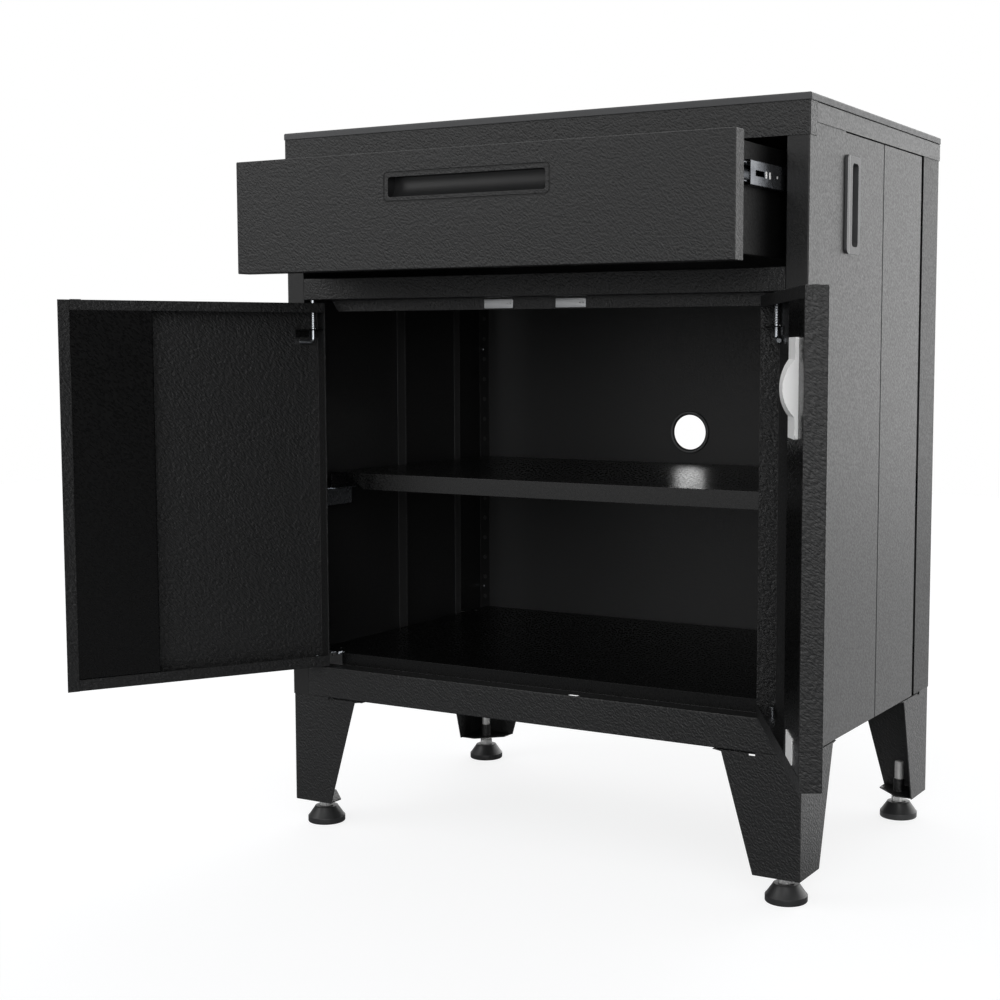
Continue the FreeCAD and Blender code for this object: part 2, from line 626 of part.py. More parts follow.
def make_mid_rail():
    section = [(STILE_Y + MID_RAIL_SHELF, MID_RAIL_TOP), (STILE_Y, MID_RAIL_TOP),
               (STILE_Y, MID_RAIL_BOTTOM), (STOP_Y, MID_RAIL_BOTTOM),
               (STOP_Y, MID_RAIL_BOTTOM - STOP_FLANGE_HEIGHT)]
    rail = bent_sheet(section, SHEET, BEND, "yz", -OPENING_X, OPENING_X)
    for side in (-1, 1):
        ends = sorted((side * (STOP_HALF_WIDTH + STOP_TAPER), side * (OPENING_X + 1)))
        rail = rail.cut(block(ends[0], ends[1], DOOR_INNER_Y - SHEET, STOP_Y + 2 * SHEET,
                              MID_RAIL_BOTTOM - STOP_FLANGE_HEIGHT, MID_RAIL_BOTTOM + 2 * SHEET))
        low = MID_RAIL_BOTTOM - STOP_FLANGE_HEIGHT
        corner = [(side * STOP_HALF_WIDTH, low), (side * (STOP_HALF_WIDTH + STOP_TAPER), low),
                  (side * (STOP_HALF_WIDTH + STOP_TAPER), MID_RAIL_BOTTOM)]
        rail = rail.cut(prism(corner, "xz", STOP_Y - SHEET, STOP_Y + 2 * SHEET))
        inner = sorted((side * OPENING_X, side * (OPENING_X - SHEET)))
        rail = joined(rail, block(inner[0], inner[1], STILE_Y + SHEET, DOOR_INNER_Y - SHEET,
                                  MID_RAIL_BOTTOM + SHEET, MID_RAIL_TOP - SHEET))
        hole = V(side * PIVOT_X, PIVOT_Y, MID_RAIL_BOTTOM)
        rail = drilled(rail, [hole], V(0, 0, 1), PIN_R + PIN_GAP, SHEET_DRILL)
    save("mid_rail", rail)
    middle_z = MID_RAIL_BOTTOM - MAGNET_DROP
    magnet = block(MAGNET_OFFSET - MAGNET_LENGTH / 2, MAGNET_OFFSET + MAGNET_LENGTH / 2,
                   STOP_Y - MAGNET_THICKNESS, STOP_Y,
                   middle_z - MAGNET_HEIGHT / 2, middle_z + MAGNET_HEIGHT / 2)
    pair("catch_magnets", magnet)


def make_bottom_rail():
    reach = OPENING_X + BOTTOM_RAIL_OVERLAP - SEAM
    section = [(STOP_Y, FLOOR_TOP - SHEET), (STOP_Y, BOTTOM_RAIL_TOP), (STILE_Y, BOTTOM_RAIL_TOP),
               (STILE_Y, BOTTOM_RAIL_BOTTOM), (STILE_Y + FLANGE, BOTTOM_RAIL_BOTTOM)]
    rail = bent_sheet(section, SHEET, BEND, "yz", -reach, reach)
    cuts = []
    for side in (-1, 1):
        ends = sorted((side * STOP_HALF_WIDTH, side * (reach + 1)))
        cuts.append(block(ends[0], ends[1], DOOR_INNER_Y - SHEET, STOP_Y + 2 * SHEET,
                          BOTTOM_RAIL_TOP - 2 * SHEET, FLOOR_TOP))
        ends = sorted((side * (LEG_X - LEG_TAB_FRONT - SEAM), side * (reach + 1)))
        cuts.append(block(ends[0], ends[1], STILE_Y + SHEET, STILE_Y + FLANGE + 1,
                          BOTTOM_RAIL_BOTTOM, BOTTOM_RAIL_BOTTOM + 2 * SHEET))
    slot_y, slot_r = FRONT_Y + RAIL_SLOT_SETBACK, RAIL_SLOT_WIDTH / 2
    reach_x = RAIL_SLOT_LENGTH / 2 - slot_r
    cuts.append(block(RAIL_SLOT_OFFSET - reach_x, RAIL_SLOT_OFFSET + reach_x, slot_y - slot_r,
                      slot_y + slot_r, BOTTOM_RAIL_TOP - 2 * SHEET, BOTTOM_RAIL_TOP + SHEET))
    for turn in (-1, 1):
        cuts.append(rod(V(RAIL_SLOT_OFFSET + turn * reach_x, slot_y, BOTTOM_RAIL_TOP - 2 * SHEET),
                        V(0, 0, 1), slot_r, 3 * SHEET))
    rail = rail.cut(cuts)
    seats = [V(side * PIVOT_X, PIVOT_Y, BOTTOM_RAIL_TOP) for side in (-1, 1)]
    save("bottom_rail", drilled(rail, seats, V(0, 0, 1), PIN_R, STUB_BELOW))
    seat = V(PIVOT_X, PIVOT_Y, BOTTOM_RAIL_TOP)
    washer_height = DOOR_BOTTOM - BOTTOM_RAIL_TOP - TOUCH
    pin = rod(seat - V(0, 0, STUB_BELOW), V(0, 0, 1), PIN_R, STUB_TOP - BOTTOM_RAIL_TOP + STUB_BELOW)
    washer = rod(seat, V(0, 0, 1), STUB_WASHER_R, washer_height)
    rivet = rod(seat - V(0, 0, STUB_BELOW), V(0, 0, 1), STUB_RIVET_R, STUB_BELOW - SHEET)
    pair("bottom_hinge_pins", joined(pin, washer, rivet))


def make_floor():
    back_y = LEG_Y - FLOOR_BACK_GAP
    low = FLOOR_TOP - FLOOR_LIP
    deck = block(-FLOOR_HALF_WIDTH, FLOOR_HALF_WIDTH, FLOOR_FRONT_Y + SHEET, back_y,
                 FLOOR_TOP - SHEET, FLOOR_TOP)
    lip = block(-STOP_HALF_WIDTH, STOP_HALF_WIDTH, FLOOR_FRONT_Y, FLOOR_FRONT_Y + SHEET, low, FLOOR_TOP)
    flange_x = LEG_X - LEG_FLANGE_WIDTH - SEAM
    back = block(-flange_x, flange_x, back_y - SHEET, back_y, low, FLOOR_TOP)
    notch_y = STOP_Y + 2 * SHEET + FLANGE / 2
    side_y = LEG_Y - LEG_TAB_SIDE - LEG_FLANGE_DEPTH
    floor = joined(deck, lip, back)
    for side in (-1, 1):
        edge = sorted((side * FLOOR_HALF_WIDTH, side * (FLOOR_HALF_WIDTH - SHEET)))
        floor = joined(floor, block(edge[0], edge[1], -side_y, side_y, low, FLOOR_TOP))
        corner = sorted((side * STOP_HALF_WIDTH, side * (FLOOR_HALF_WIDTH + 1)))
        floor = floor.cut(block(corner[0], corner[1], FLOOR_FRONT_Y - 1, notch_y,
                                low - 1, FLOOR_TOP + 1))
    seats = [V(seat.x * sx, seat.y * sy, seat.z) for seat in leg_bolt_seats()
             for sx in (-1, 1) for sy in (-1, 1)]
    save("floor_panel", drilled(floor, seats, V(0, 0, 1), LEG_BOLT_R, DECK_DRILL))


def make_shelf():
    low = SHELF_TOP - SHELF_LIP
    half = SHELF_HALF_WIDTH
    deck = block(-half, half, SHELF_FRONT_Y, SHELF_BACK_Y, SHELF_TOP - SHEET, SHELF_TOP)
    wide, narrow = half - SHELF_LIP_END_TOP, half - SHELF_LIP_END_BOTTOM
    lip = prism([(-wide, SHELF_TOP), (-narrow, low), (narrow, low), (wide, SHELF_TOP)],
                "xz", SHELF_FRONT_Y, SHELF_FRONT_Y + SHEET)
    hem = block(-narrow, narrow, SHELF_FRONT_Y,
                SHELF_FRONT_Y + SHELF_LIP_RETURN, low, low + SHEET)
    back = block(-half, half, SHELF_BACK_Y - SHEET, SHELF_BACK_Y, low, SHELF_TOP)
    sides = [block(half - SHEET, half, SHELF_FRONT_Y + SHEET, SHELF_BACK_Y - SHEET, low, SHELF_TOP)]
    sides.append(mirrored(sides[0]))
    save("shelf", joined(deck, lip, hem, back, *sides))


def make_shelf_clips():
    top = SHELF_TOP - SHELF_LIP
    low = top - CLIP_HEIGHT
    web_x = SHELF_HALF_WIDTH
    ledge_x = web_x - CLIP_LEDGE
    hook_z = max(z for z in clip_hole_heights() if z < top - CLIP_HOLE_R)
    front_y = STILE_BACK_Y
    web = block(web_x, web_x + CLIP_SHEET, front_y, front_y + CLIP_FRONT_REACH, low, top)
    plate = block(OPENING_X + TOUCH, web_x + CLIP_SHEET, front_y, front_y + CLIP_SHEET, low, top)
    ledge = block(ledge_x, web_x, SHELF_FRONT_Y, front_y + CLIP_FRONT_REACH, top - CLIP_SHEET, top)
    hook = rod(V(OPENING_X + STILE_LIP / 2, front_y - 2 * SHEET, hook_z), V(0, 1, 0),
               CLIP_HOOK_R, 2 * SHEET)
    front = joined(web, plate, ledge, hook)
    rear_y = BACK_INNER_Y - SHEET
    web = block(web_x, web_x + CLIP_SHEET, rear_y - CLIP_REAR_REACH, rear_y, low, top)
    plate = block(web_x, WALL_X - SHEET, rear_y - CLIP_SHEET, rear_y, low, top)
    ledge = block(ledge_x, web_x, rear_y - CLIP_REAR_REACH, SHELF_BACK_Y, top - CLIP_SHEET, top)
    hook = rod(V(PANEL_X - CLIP_HOLE_INSET, rear_y, hook_z), V(0, 1, 0), CLIP_HOOK_R, SHEET)
    rear = joined(web, plate, ledge, hook)
    save("shelf_clips", mirrored(front), front, mirrored(rear), rear)


def wing(foot, shoulder, tab, outer):
    """Outline of one wing of a leg: distances from the corner, and heights."""
    top = LEG_TOP
    return [(outer, LEG_BOTTOM), (outer - foot, LEG_BOTTOM),
            (outer - shoulder, top - LEG_GUSSET_DROP),
            (outer - shoulder - LEG_GUSSET_LENGTH, top),
            (outer - tab - LEG_NOTCH, top), (outer - tab - LEG_NOTCH, top - LEG_NOTCH_DROP),
            (outer - tab, top - LEG_NOTCH_DROP), (outer - tab, LEG_TAB_TOP), (outer, LEG_TAB_TOP)]


def make_legs():
    front = prism(wing(LEG_FRONT_FOOT, LEG_FRONT_SHOULDER, LEG_TAB_FRONT, LEG_X), "xz",
                  -LEG_Y, -LEG_Y + LEG_SHEET)
    outline = [(-y, z) for y, z in wing(LEG_SIDE_FOOT, LEG_SIDE_SHOULDER, LEG_TAB_SIDE, LEG_Y)]
    side = prism(outline, "yz", LEG_X - LEG_SHEET, LEG_X)
    plate = prism([(LEG_X, -LEG_Y), (LEG_X, -LEG_Y + LEG_PLATE_FAR),
                   (LEG_X - LEG_PLATE_NEAR, -LEG_Y + LEG_PLATE_FAR),
                   (LEG_X - LEG_PLATE_FAR, -LEG_Y + LEG_PLATE_NEAR), (LEG_X - LEG_PLATE_FAR, -LEG_Y)],
                  "xy", LEG_BOTTOM, LEG_BOTTOM + LEG_SHEET)
    flange_top = FLOOR_TOP - SHEET
    tab_y = -LEG_Y + LEG_TAB_SIDE
    riser = block(LEG_X - LEG_SHEET, LEG_X, -LEG_Y + LEG_TAB_SIDE / 2, tab_y, LEG_TAB_TOP, flange_top)
    step = block(LEG_X - LEG_FLANGE_WIDTH, LEG_X, tab_y - LEG_SHEET, tab_y + LEG_FLANGE_DEPTH,
                 flange_top - LEG_SHEET, flange_top)
    inner_x, inner_y = LEG_X - LEG_SHEET, -LEG_Y + LEG_SHEET
    low = LEG_TOP - SHEET
    lap = LEG_RETURN_LAP
    front_return = block(LEG_X - LEG_FRONT_SHOULDER - LEG_GUSSET_LENGTH, LEG_X - LEG_TAB_FRONT + lap,
                         inner_y, -LEG_Y + LEG_RETURN, low, LEG_TOP)
    side_return = block(LEG_X - LEG_RETURN, inner_x, -LEG_Y + LEG_TAB_SIDE - lap,
                        -LEG_Y + LEG_SIDE_SHOULDER + LEG_GUSSET_LENGTH, low, LEG_TOP)
    sleeve = rod(V(FOOT_X, -FOOT_Y, LEG_BOTTOM + LEG_SHEET), V(0, 0, 1), FOOT_SLEEVE_R,
                 FOOT_SLEEVE_HEIGHT)
    leg = joined(front, side, plate, riser, step, front_return, side_return, sleeve)
    corner = [edge for edge in leg.Edges if abs(edge.Vertexes[0].Point.x - LEG_X) < 1e-6
              and abs(edge.Vertexes[0].Point.y + LEG_Y) < 1e-6
              and abs(edge.Vertexes[-1].Point.x - LEG_X) < 1e-6
              and abs(edge.Vertexes[-1].Point.y + LEG_Y) < 1e-6]
    leg = leg.makeFillet(LEG_ROUND, corner)
    leg = drilled(leg, [V(FOOT_X, -FOOT_Y, LEG_BOTTOM)], V(0, 0, 1), FOOT_STUD_R + THREAD_GAP,
                  LEG_SHEET + FOOT_SLEEVE_HEIGHT + 1)
    leg = drilled(leg, leg_bolt_seats(), V(0, 0, 1), LEG_BOLT_R, DECK_DRILL)
    for corner, shape in corner_set(leg).items():
        save("leg_" + corner, shape)


def make_feet():
    centre = V(FOOT_X, -FOOT_Y, 0)
    base = rod(centre, V(0, 0, 1), FOOT_BASE_R, FOOT_BASE_HEIGHT)
    rim = [edge for edge in base.Edges if edge.Curve.TypeId == "Part::GeomCircle"
           and edge.Curve.Center.z < FOOT_BASE_HEIGHT / 2]
    base = base.makeFillet(FOOT_BASE_ROUND, rim)
    cone = Part.makeCone(FOOT_BASE_R, FOOT_TOP_R, FOOT_PAD_HEIGHT - FOOT_BASE_HEIGHT,
                         centre + V(0, 0, FOOT_BASE_HEIGHT), V(0, 0, 1))
    stud = rod(centre + V(0, 0, FOOT_STUD_BOTTOM), V(0, 0, 1), FOOT_STUD_R,
               FOOT_STUD_TOP - FOOT_STUD_BOTTOM)
    pad = joined(base, cone).cut(stud)
    collar = hexagon(centre + V(0, 0, FOOT_PAD_HEIGHT), FOOT_HEX_FLATS, FOOT_HEX_HEIGHT)
    for corner, shape in corner_set(pad).items():
        save("foot_pad_" + corner, shape)
    for corner, shape in corner_set(joined(stud, collar)).items():
        save("foot_stud_" + corner, shape)


def channel(web_x, depth, sheet, height, front_y, length, towards):
    """A slide member: an upright channel whose flanges point inward (-1) or outward (+1)."""
    low, high = SLIDE_Z - height / 2, SLIDE_Z + height / 2
    inside = web_x + towards * depth
    path = [(inside, high), (web_x, high), (web_x, low), (inside, low)]
    return bent_sheet(path[::towards], sheet, sheet / 2, "xz", front_y, front_y + length)


def cage(x, z, middle_y, ball_r):
    """A strip with a row of balls in it."""
    strip = block(x - CAGE_WIDTH / 2, x + CAGE_WIDTH / 2, middle_y - CAGE_LENGTH / 2,
                  middle_y + CAGE_LENGTH / 2, z - CAGE_THICKNESS / 2, z + CAGE_THICKNESS / 2)
    step = CAGE_LENGTH / CAGE_BALLS
    first = middle_y - CAGE_LENGTH / 2 + step / 2
    balls = [Part.makeSphere(ball_r, V(x, first + step * i, z)) for i in range(CAGE_BALLS)]
    return joined(strip, *balls)


def slide_screw_seats(x, front_y):
    """Places of the screws along one slide member."""
    return [V(x, front_y + inset, SLIDE_Z) for inset in SLIDE_SCREW_INSETS]


def make_slides():
    half = SUPPORT_HEIGHT / 2
    path = [(OPENING_X + SUPPORT_REAR_TAB, BACK_INNER_Y - SHEET), (OPENING_X, BACK_INNER_Y - SHEET),
            (OPENING_X, STILE_BACK_Y), (OPENING_X + STILE_LIP, STILE_BACK_Y)]
    support = bent_sheet(path, SUPPORT_SHEET, BEND, "xy", SLIDE_Z - half, SLIDE_Z + half)
    outer_seats = slide_screw_seats(OPENING_X - SLIDE_OUTER_SHEET, SLIDE_FRONT_Y)
    outward = V(1, 0, 0)
    pair("slide_supports", drilled(support, outer_seats, outward, SCREW_R, WALL_DRILL))
    outer = channel(OPENING_X, SLIDE_OUTER_DEPTH, SLIDE_OUTER_SHEET, SLIDE_OUTER_HEIGHT,
                    SLIDE_FRONT_Y, SLIDE_LENGTH, -1)
    pair("slide_outers", drilled(outer, outer_seats, outward, SCREW_R, WALL_DRILL))
    middle_x = OPENING_X - SLIDE_MIDDLE_SET
    middle_y = SLIDE_FRONT_Y - SLIDE_MIDDLE_OUT
    middle = channel(middle_x, SLIDE_MIDDLE_DEPTH, SLIDE_MIDDLE_SHEET, SLIDE_MIDDLE_HEIGHT,
                     middle_y, SLIDE_MEMBER_LENGTH, -1)
    slot_y = middle_y + SLIDE_SLOT_INSET
    slot = block(middle_x - 2, middle_x + 1, slot_y, slot_y + SLIDE_SLOT_LENGTH,
                 SLIDE_Z - SLIDE_SLOT_HEIGHT / 2, SLIDE_Z + SLIDE_SLOT_HEIGHT / 2)
    pair("slide_middles", middle.cut(slot))
    inner_y = DRAWER_WALL_Y + TOUCH
    inner = channel(DRAWER_X, SLIDE_INNER_DEPTH, SLIDE_INNER_SHEET, SLIDE_INNER_HEIGHT,
                    inner_y, SLIDE_MEMBER_LENGTH - TOUCH, 1)
    inner_seats = slide_screw_seats(DRAWER_X + SLIDE_INNER_SHEET, inner_y)
    pair("slide_inners", drilled(inner, inner_seats, outward, SCREW_R, WALL_DRILL))
    cages = []
    outer_face = SLIDE_OUTER_HEIGHT / 2 - SLIDE_OUTER_SHEET
    middle_face = SLIDE_MIDDLE_HEIGHT / 2
    middle_inside = middle_face - SLIDE_MIDDLE_SHEET
    inner_face = SLIDE_INNER_HEIGHT / 2
    races = [(OUTER_CAGE_SET, SLIDE_FRONT_Y + OUTER_CAGE_PLACE, middle_face, outer_face),
             (INNER_CAGE_SET, DRAWER_WALL_Y + INNER_CAGE_PLACE, inner_face, middle_inside)]
    for inset, place_y, low, high in races:
        radius = (high - low) / 2 - BALL_GAP
        for way in (-1, 1):
            strip = cage(OPENING_X - inset, SLIDE_Z + way * (low + high) / 2, place_y, radius)
            cages += [mirrored(strip), strip]
    save("ball_cages", *cages)
    make_case_fasteners(outer_seats)
    return inner_seats


def make_case_fasteners(slide_seats):
    """The screws through the back and the outer slide members, and the leg bolts."""
    screws = [screw(seat, V(1, 0, 0), SCREW_HEAD_R, SCREW_HEAD, SCREW_R,
                    SLIDE_OUTER_SHEET + SUPPORT_SHEET) for seat in slide_seats]
    screws += [screw(seat, V(0, -1, 0), SCREW_HEAD_R, BACK_SCREW_HEAD, SCREW_R, 2 * SHEET)
               for seat in back_screw_seats()]
    bolts = []
    for seat in leg_bolt_seats():
        head = hexagon(seat - V(0, 0, LEG_BOLT_HEAD), LEG_BOLT_FLATS, LEG_BOLT_HEAD)
        shank = rod(seat, V(0, 0, 1), LEG_BOLT_R, LEG_SHEET + 3 * SHEET)
        bolts += corner_set(joined(head, shank)).values()
    save("case_fasteners", *[mirrored(one) for one in screws], *screws, *bolts)


def pull_cup():
    """A finger pull: its mouth's centre is the origin, and it runs along X and goes in along +Y."""
    half = PULL_HEIGHT / 2
    low, high, wall = -half - PULL_DROP, half + PULL_HOOK, PULL_WALL
    bulge = V(0, PULL_DEPTH * PULL_BULGE_IN, low + PULL_HEIGHT * PULL_BULGE_UP)

    def section(grow, reach):
        start, end = V(0, 0, low - grow), V(0, PULL_DEPTH + grow, half)
        tip, lip = V(0, PULL_DEPTH + grow, high + grow), V(0, 0, high + grow)
        middle = bulge + V(0, grow * math.sqrt(0.5), -grow * math.sqrt(0.5))
        edges = [Part.Arc(start, middle, end).toShape(), Part.LineSegment(end, tip).toShape(),
                 Part.LineSegment(tip, lip).toShape(), Part.LineSegment(lip, start).toShape()]
        face = Part.Face(Part.Wire(edges))
        face.translate(V(-reach, 0, 0))
        return face.extrude(V(2 * reach, 0, 0))

    reach = PULL_LENGTH / 2
    rim = block(-reach - PULL_RIM, reach + PULL_RIM, 0, wall, low - PULL_RIM, high + PULL_RIM)
    shell = joined(section(wall, reach + wall), rim)
    return shell.cut(section(0, reach)).removeSplitter()


def pull_mouth(depth):
    """The opening of a finger pull in its sheet, along X, cut along Y."""
    half_x, half_z, r = PULL_LENGTH / 2, PULL_HEIGHT / 2, PULL_ROUND
    return rounded(block(-half_x, half_x, -depth, depth, -half_z, half_z), r, V(0, 1, 0))


def make_drawer(inner_seats):
    face_x = OPENING_X - DRAWER_GAP_SIDE
    face = pan(-face_x, face_x, DRAWER_FACE_Y, DRAWER_WALL_Y, DRAWER_FRONT_BOTTOM, DRAWER_FRONT_TOP,
               DOOR_EDGE_ROUND, "back")
    hollow = block(-face_x + SHEET, face_x - SHEET, DRAWER_FACE_Y + SHEET, DRAWER_WALL_Y - SHEET,
                   DRAWER_FRONT_BOTTOM + SHEET, DRAWER_FRONT_TOP - SHEET)
    lip = DRAWER_FRONT_LIP
    window = block(-face_x + lip, face_x - lip, DRAWER_WALL_Y - SHEET, DRAWER_WALL_Y,
                   DRAWER_FRONT_BOTTOM + lip, DRAWER_FRONT_TOP - lip)
    mouth = pull_mouth(SHEET * 2)
    mouth.translate(V(0, DRAWER_FACE_Y, DRAWER_PULL_Z))
    face = face.cut([hollow, window, mouth])
    screw_z = (DRAWER_BOTTOM + SHEET + DRAWER_SCREW_INSET, DRAWER_SIDE_TOP - DRAWER_SCREW_INSET)
    wall_seats = [V(side * DRAWER_SCREW_X, DRAWER_WALL_Y + SHEET, z) for side in (-1, 1) for z in screw_z]
    save("drawer_front", drilled(face, wall_seats, V(0, 1, 0), SCREW_R, WALL_DRILL))
    cup = pull_cup()
    cup.translate(V(0, DRAWER_FACE_Y + SHEET, DRAWER_PULL_Z))
    save("drawer_pull_cup", cup)
    inner_x = DRAWER_X - SHEET
    low = DRAWER_BOTTOM + SHEET + BEND
    high = DRAWER_SIDE_TOP - SHEET - BEND
    end_y = DRAWER_WALL_Y + SLIDE_MEMBER_LENGTH
    wall = block(-inner_x, inner_x, DRAWER_WALL_Y, DRAWER_WALL_Y + SHEET, low, high)
    save("drawer_front_wall", drilled(wall, wall_seats, V(0, 1, 0), SCREW_R, WALL_DRILL))
    wall = block(-inner_x, inner_x, end_y - SHEET, end_y, low, high)
    reach = inner_x - DRAWER_HEM
    riser = block(-reach, reach, end_y - SHEET, end_y, high, DRAWER_SIDE_TOP)
    hem = block(-reach, reach, end_y - DRAWER_HEM, end_y, DRAWER_SIDE_TOP - SHEET, DRAWER_SIDE_TOP)
    save("drawer_back", joined(wall, riser, hem))
    inside = DRAWER_X - DRAWER_HEM
    section = [(-inside, DRAWER_SIDE_TOP), (-DRAWER_X, DRAWER_SIDE_TOP), (-DRAWER_X, DRAWER_BOTTOM),
               (DRAWER_X, DRAWER_BOTTOM), (DRAWER_X, DRAWER_SIDE_TOP), (inside, DRAWER_SIDE_TOP)]
    tray = bent_sheet(section, SHEET, BEND, "xz", DRAWER_WALL_Y, end_y)
    side_seats = inner_seats + [V(-seat.x, seat.y, seat.z) for seat in inner_seats]
    save("drawer_tray", drilled(tray, side_seats, V(1, 0, 0), SCREW_R, WALL_DRILL))
    screws = [screw(seat, V(0, -1, 0), SCREW_HEAD_R, SCREW_HEAD, SCREW_R, 2 * SHEET)
              for seat in wall_seats]
    for seat in inner_seats:
        one = screw(seat, V(-1, 0, 0), SCREW_HEAD_R, SCREW_HEAD, SCREW_R, SLIDE_INNER_SHEET + SHEET)
        screws += [mirrored(one), one]
    save("drawer_screws", *screws)


def opened(shape):
    """A right door's piece swung from closed to the stored open place."""
    turned = shape.copy()
    turned.rotate(V(PIVOT_X, PIVOT_Y, 0), V(0, 0, 1), DOOR_OPEN)
    return turned


def door_block(u0, u1, v0, v1, z0, z1):
    """A box in the closed right door: u from its hinge edge, v from its outer face."""
    return block(DOOR_EDGE_X - u1, DOOR_EDGE_X - u0, FRONT_Y + v0, FRONT_Y + v1, z0, z1)


def make_door():
    width, depth = DOOR_WIDTH, DOOR_DEPTH
    skin = pan(DOOR_EDGE_X - width, DOOR_EDGE_X, FRONT_Y, FRONT_Y + depth, DOOR_BOTTOM, DOOR_TOP,
               DOOR_EDGE_ROUND, "back")
    hollow = door_block(DOOR_HEM, width - SHEET, SHEET, depth - SHEET,
                        DOOR_BOTTOM + SHEET, DOOR_TOP - SHEET)
    window = door_block(DOOR_HEM, width - DOOR_FREE_LIP, depth - SHEET, depth,
                        DOOR_BOTTOM + DOOR_BOTTOM_LIP, DOOR_TOP - DOOR_TOP_LIP)
    mouth = pull_mouth(SHEET * 2)
    mouth.rotate(V(0, 0, 0), V(0, 1, 0), 90)
    pull_x = DOOR_GAP_MIDDLE + DOOR_PULL_FROM_FREE_EDGE
    mouth.translate(V(pull_x, FRONT_Y, DOOR_PULL_Z))
    skin = skin.cut([hollow, window, mouth])
    pivot = [V(PIVOT_X, PIVOT_Y, z) for z in (DOOR_BOTTOM, DOOR_TOP)]
    skin = drilled(skin, pivot, V(0, 0, 1), PIN_R + PIN_GAP, SHEET_DRILL)
    save("door_skin_right", opened(skin))
    lip_u = width - DOOR_FREE_LIP
    strip = door_block(lip_u, width + MEETING_STRIP_REACH, depth + MEETING_STRIP_GAP,
                       depth + MEETING_STRIP_GAP + SHEET, DOOR_BOTTOM, DOOR_TOP)
    spacer = door_block(lip_u, width - SHEET, depth - SHEET / 2, depth + MEETING_STRIP_GAP,
                        DOOR_BOTTOM, DOOR_TOP)
    save("door_skin_left", mirrored(opened(joined(skin, spacer, strip))))
    cup = pull_cup()
    cup.rotate(V(0, 0, 0), V(0, 1, 0), 90)
    cup.translate(V(pull_x, FRONT_Y + SHEET, DOOR_PULL_Z))
    both("door_pull_cup", opened(cup))
    edge_u = width - DOOR_FREE_LIP - STIFFENER_WIDTH
    low, high = DOOR_BOTTOM + DOOR_BOTTOM_LIP + STIFFENER_SLIT, DOOR_TOP - DOOR_TOP_LIP
    plate_x = DOOR_GAP_MIDDLE + DOOR_FREE_LIP
    wall_x = DOOR_EDGE_X - edge_u
    path = [(wall_x - STIFFENER_FOOT, FRONT_Y + SHEET), (wall_x, FRONT_Y + SHEET),
            (wall_x, FRONT_Y + depth), (plate_x, FRONT_Y + depth)]
    both("door_stiffener", opened(bent_sheet(path, SHEET, BEND, "xy", low, high)))
    bump_x = DOOR_GAP_MIDDLE + BUFFER_FROM_FREE_EDGE
    bump = block(bump_x, bump_x + BUFFER_LENGTH, FRONT_Y + depth / 2 - BUFFER_WIDTH / 2,
                 FRONT_Y + depth / 2 + BUFFER_WIDTH / 2, DOOR_TOP, DOOR_TOP + BUFFER_HEIGHT)
    both("door_buffer", opened(bump))
    inner_y = FRONT_Y + depth
    plate_x = DOOR_GAP_MIDDLE + CUP_PLATE_FROM_FREE_EDGE
    plate_z = DOOR_PULL_Z + CUP_PLATE_RISE
    plate = block(plate_x, plate_x + CUP_PLATE_WIDTH, inner_y, inner_y + CUP_PLATE_THICKNESS,
                  plate_z - CUP_PLATE_HEIGHT / 2, plate_z + CUP_PLATE_HEIGHT / 2)
    plate = rounded(plate, CUP_PLATE_ROUND, V(0, 1, 0))
    half = CUP_BOSS_HEIGHT / 2
    base_y = inner_y + CUP_PLATE_THICKNESS
    side = [V(plate_x, base_y, plate_z - half), V(plate_x, base_y + CUP_BOSS_PROUD, plate_z),
            V(plate_x, base_y, plate_z + half)]
    curve = Part.Wire([Part.Arc(*side).toShape(), Part.LineSegment(side[2], side[0]).toShape()])
    boss = Part.Face(curve).extrude(V(CUP_PLATE_WIDTH, 0, 0))
    slope = prism([(plate_x, base_y), (plate_x + CUP_PLATE_WIDTH, base_y),
                   (plate_x + CUP_BOSS_WIDTH, base_y + CUP_BOSS_PROUD),
                   (plate_x, base_y + CUP_BOSS_PROUD)], "xy", plate_z - half, plate_z + half)
    save("pull_backing", opened(joined(plate, boss.common(slope))))
    pad_u = width - PAD_FROM_FREE_EDGE - PAD_WIDTH
    pad_z = DOOR_BOTTOM + PAD_RISE
    pad = door_block(pad_u, pad_u + PAD_WIDTH, depth, depth + PAD_THICKNESS, pad_z, pad_z + PAD_HEIGHT)
    save("stiffener_pad", opened(pad))


def helix_point(radius, pitch, angle):
    """A point and unit direction on a helix round Z."""
    point = V(radius * math.cos(angle), radius * math.sin(angle), pitch * angle / (2 * math.pi))
    slope = V(-radius * math.sin(angle), radius * math.cos(angle), pitch / (2 * math.pi))
    return point, slope.normalize()


def tangent_arc(start, corner, end):
    """The arc that touches the lines start-corner and corner-end at its ends."""
    middle = (start + end) * 0.5
    half = start.distanceToPoint(end) / 2
    rise = corner.distanceToPoint(middle)
    lift = half * math.tan(math.atan2(rise, half) / 2)
    return Part.Arc(start, middle + (corner - middle).normalize() * lift, end).toShape()


